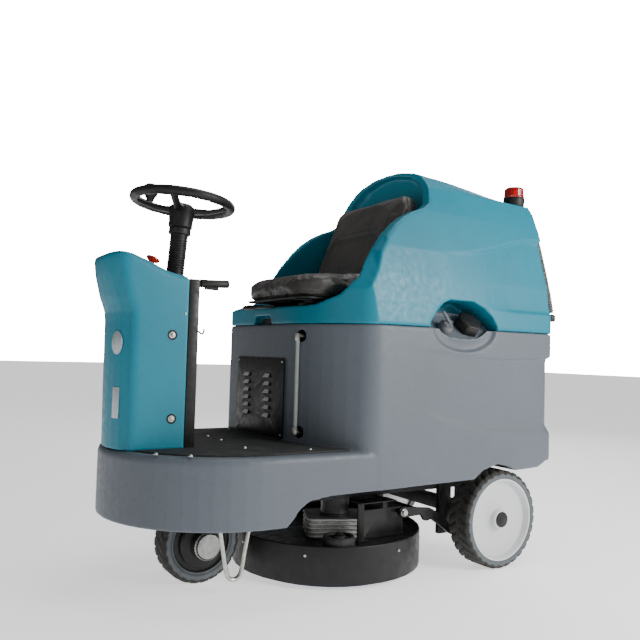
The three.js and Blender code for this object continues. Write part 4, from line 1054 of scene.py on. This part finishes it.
SKIRT_SCREWS = []
for k in range(8):
    turn = math.radians(45.9 + 45 * k + (12 if k == 1 else 0))
    SKIRT_SCREWS.append((DECK_CENTRE[0] + SKIRT_RADIUS * math.cos(turn),
                         DECK_CENTRE[1] + SKIRT_RADIUS * math.sin(turn), SKIRT_SCREW_Z))
screws("skirt_screws", "deck", "zinc", SKIRT_SCREWS, radial_out,
       radius=4.6, height=2.8, washer=0, recess="socket")

ARM_BOLT = {"radius": 10.5, "height": 6.5, "washer": 13, "recess": "hex"}
screws("arm_tip_bolts", "deck", "zinc", mirrored_places([(-157.5, 244.6, 195)]), sideways_out,
       **ARM_BOLT)
screws("arm_pivot_bolts", "machine", "zinc", mirrored_places([(-372.5, 244.6, 118)]), sideways_out,
       **ARM_BOLT)
for side, hand in ((1, "left"), (-1, "right")):
    screws(f"wheel_bolt_{hand}", f"rear_wheel_{hand}", "zinc", [(-490.5, side * 350.6, 161.6)],
           sideways_out, radius=6.0, height=0.9, washer=0, recess="hex")


# ---------------------------------------------------------------- louvre faces, notch and front hub
def slab(name, corners, depth):
    """A thin plate: four corners in millimetres, thickened along its normal."""
    bm = bmesh.new()
    face = [Vector(c) * MM for c in corners]
    out = (face[1] - face[0]).cross(face[2] - face[0]).normalized() * depth * MM
    low = [bm.verts.new(c) for c in face]
    high = [bm.verts.new(c + out) for c in face]
    bm.faces.new(low[::-1])
    bm.faces.new(high)
    for k in range(4):
        bm.faces.new([low[k], low[(k + 1) % 4], high[(k + 1) % 4], high[k]])
    return from_bmesh(name, bm, smooth=False)


LOUVRE_FACE = 204.8
LOUVRE_FOOT = 484
LOUVRE_PITCH = 26
lips = []
for y in (-186, -38):
    for row in range(6):
        z = LOUVRE_FOOT + row * LOUVRE_PITCH
        lips.append(slab("lip", [(LOUVRE_FACE + 8.2, y - 21, z + 0.4), (LOUVRE_FACE + 8.2, y + 21, z + 0.4),
                                 (LOUVRE_FACE + 0.9, y + 15, z + 12.4),
                                 (LOUVRE_FACE + 0.9, y - 15, z + 12.4)], 0.5))
added(joined("louvre_lips", lips), "machine", "cast_aluminium")

# a thin black plate across the notch's back wall: painted shade that darkens the inside of the notch
NOTCH_CORNERS = [(174.0, -161, 791.5), (174.0, -29, 791.5), (174.0, -46, 818), (174.0, -144, 818)]
added(slab("notch_painted_shade", NOTCH_CORNERS, 0.8), "upper_tank", "black_plastic")

HUB_CAP_PROFILE = [
    (0, 95.6), (34, 95.6), (38.6, 93), (40.8, 90), (40.8, 57.5), (36, 57.5), (36, 88), (0, 88),
]
DRIVE_AXLE = Vector((0.4495, 0, 0.123))
hub_cap = lathe("hub_cap", HUB_CAP_PROFILE, DRIVE_AXLE, (0, 1, 0), 48, closed=False)
added(hub_cap, "drive_wheel", "cast_aluminium")


# ---------------------------------------------------------------- floor, lights and camera
def stage_material(name, colour, glow):
    m = Shader(name, colour, 0.6)
    m.set(**{"Emission_Color": (1, 1, 1, 1), "Emission_Strength": glow})
    return m.material


FLOOR_SIZE = 60
bpy.ops.mesh.primitive_plane_add(size=FLOOR_SIZE, location=(0, 0, 0))
floor = bpy.context.object
floor.name = "floor"
floor.data.materials.append(stage_material("floor_white", (240, 240, 240), 0.9))

# what the surroundings give as light, and how bright they look behind the machine
AMBIENT_LIGHT = 0.16
BACKDROP_BRIGHTNESS = 20.0
world = bpy.data.worlds.new("studio")
bpy.context.scene.world = world
world.use_nodes = True
backdrop = world.node_tree.nodes["Background"]
backdrop.inputs["Color"].default_value = (1.0, 1.0, 1.0, 1)
seen = world.node_tree.nodes.new("ShaderNodeLightPath").outputs["Is Camera Ray"]
level = world.node_tree.nodes.new("ShaderNodeMapRange")
level.inputs["To Min"].default_value = AMBIENT_LIGHT
level.inputs["To Max"].default_value = BACKDROP_BRIGHTNESS
world.node_tree.links.new(seen, level.inputs["Value"])
world.node_tree.links.new(level.outputs["Result"], backdrop.inputs["Strength"])


def lamp(name, at, towards, size, power, colour=(1, 1, 1)):
    data = bpy.data.lights.new(name, "AREA")
    data.shape = "RECTANGLE"
    data.size, data.size_y = size
    data.energy = power
    data.color = colour
    made = bpy.data.objects.new(name, data)
    bpy.context.scene.collection.objects.link(made)
    made.location = at
    made.rotation_euler = (Vector(towards) - Vector(at)).to_track_quat("-Z", "Y").to_euler()


lamp("key", (-1.7, 2.8, 1.7), (-0.4, 0.3, 0.85), (1.5, 1.5), 125, (1, 0.99, 0.97))
lamp("top", (-0.6, 0.2, 3.6), (-0.3, 0, 0.6), (2.2, 2.2), 45)
lamp("fill", (3.6, 1.0, 1.5), (0.3, 0, 0.6), (2.0, 2.0), 9, (0.94, 0.97, 1.0))
lamp("rim", (-3.2, -2.6, 2.6), (-0.4, 0, 0.9), (1.8, 1.8), 50)

CAMERA_PLACE = (1.2793, 1.9946, 0.6989)
AZIMUTH = math.radians(148.34)
TURN = math.radians(-0.4)
PITCH = math.radians(2.6)
ROLL = math.radians(1.68)

camera = bpy.data.objects.new("camera", bpy.data.cameras.new("camera"))
bpy.context.scene.collection.objects.link(camera)
bpy.context.scene.camera = camera
camera.data.sensor_width = 36.0
camera.data.lens = 38.87
camera.data.shift_y = 0.0028
ahead = Matrix.Rotation(TURN, 3, "Z") @ Vector((-math.sin(AZIMUTH), math.cos(AZIMUTH), 0))
look = ahead * math.cos(PITCH) + Vector((0, 0, math.sin(PITCH)))
level_right = look.cross(Vector((0, 0, 1))).normalized()
level_up = level_right.cross(look)
right = level_right * math.cos(ROLL) + level_up * math.sin(ROLL)
up = level_up * math.cos(ROLL) - level_right * math.sin(ROLL)
facing = Matrix((right, up, -look)).transposed().to_4x4()
camera.matrix_world = Matrix.Translation(CAMERA_PLACE) @ facing
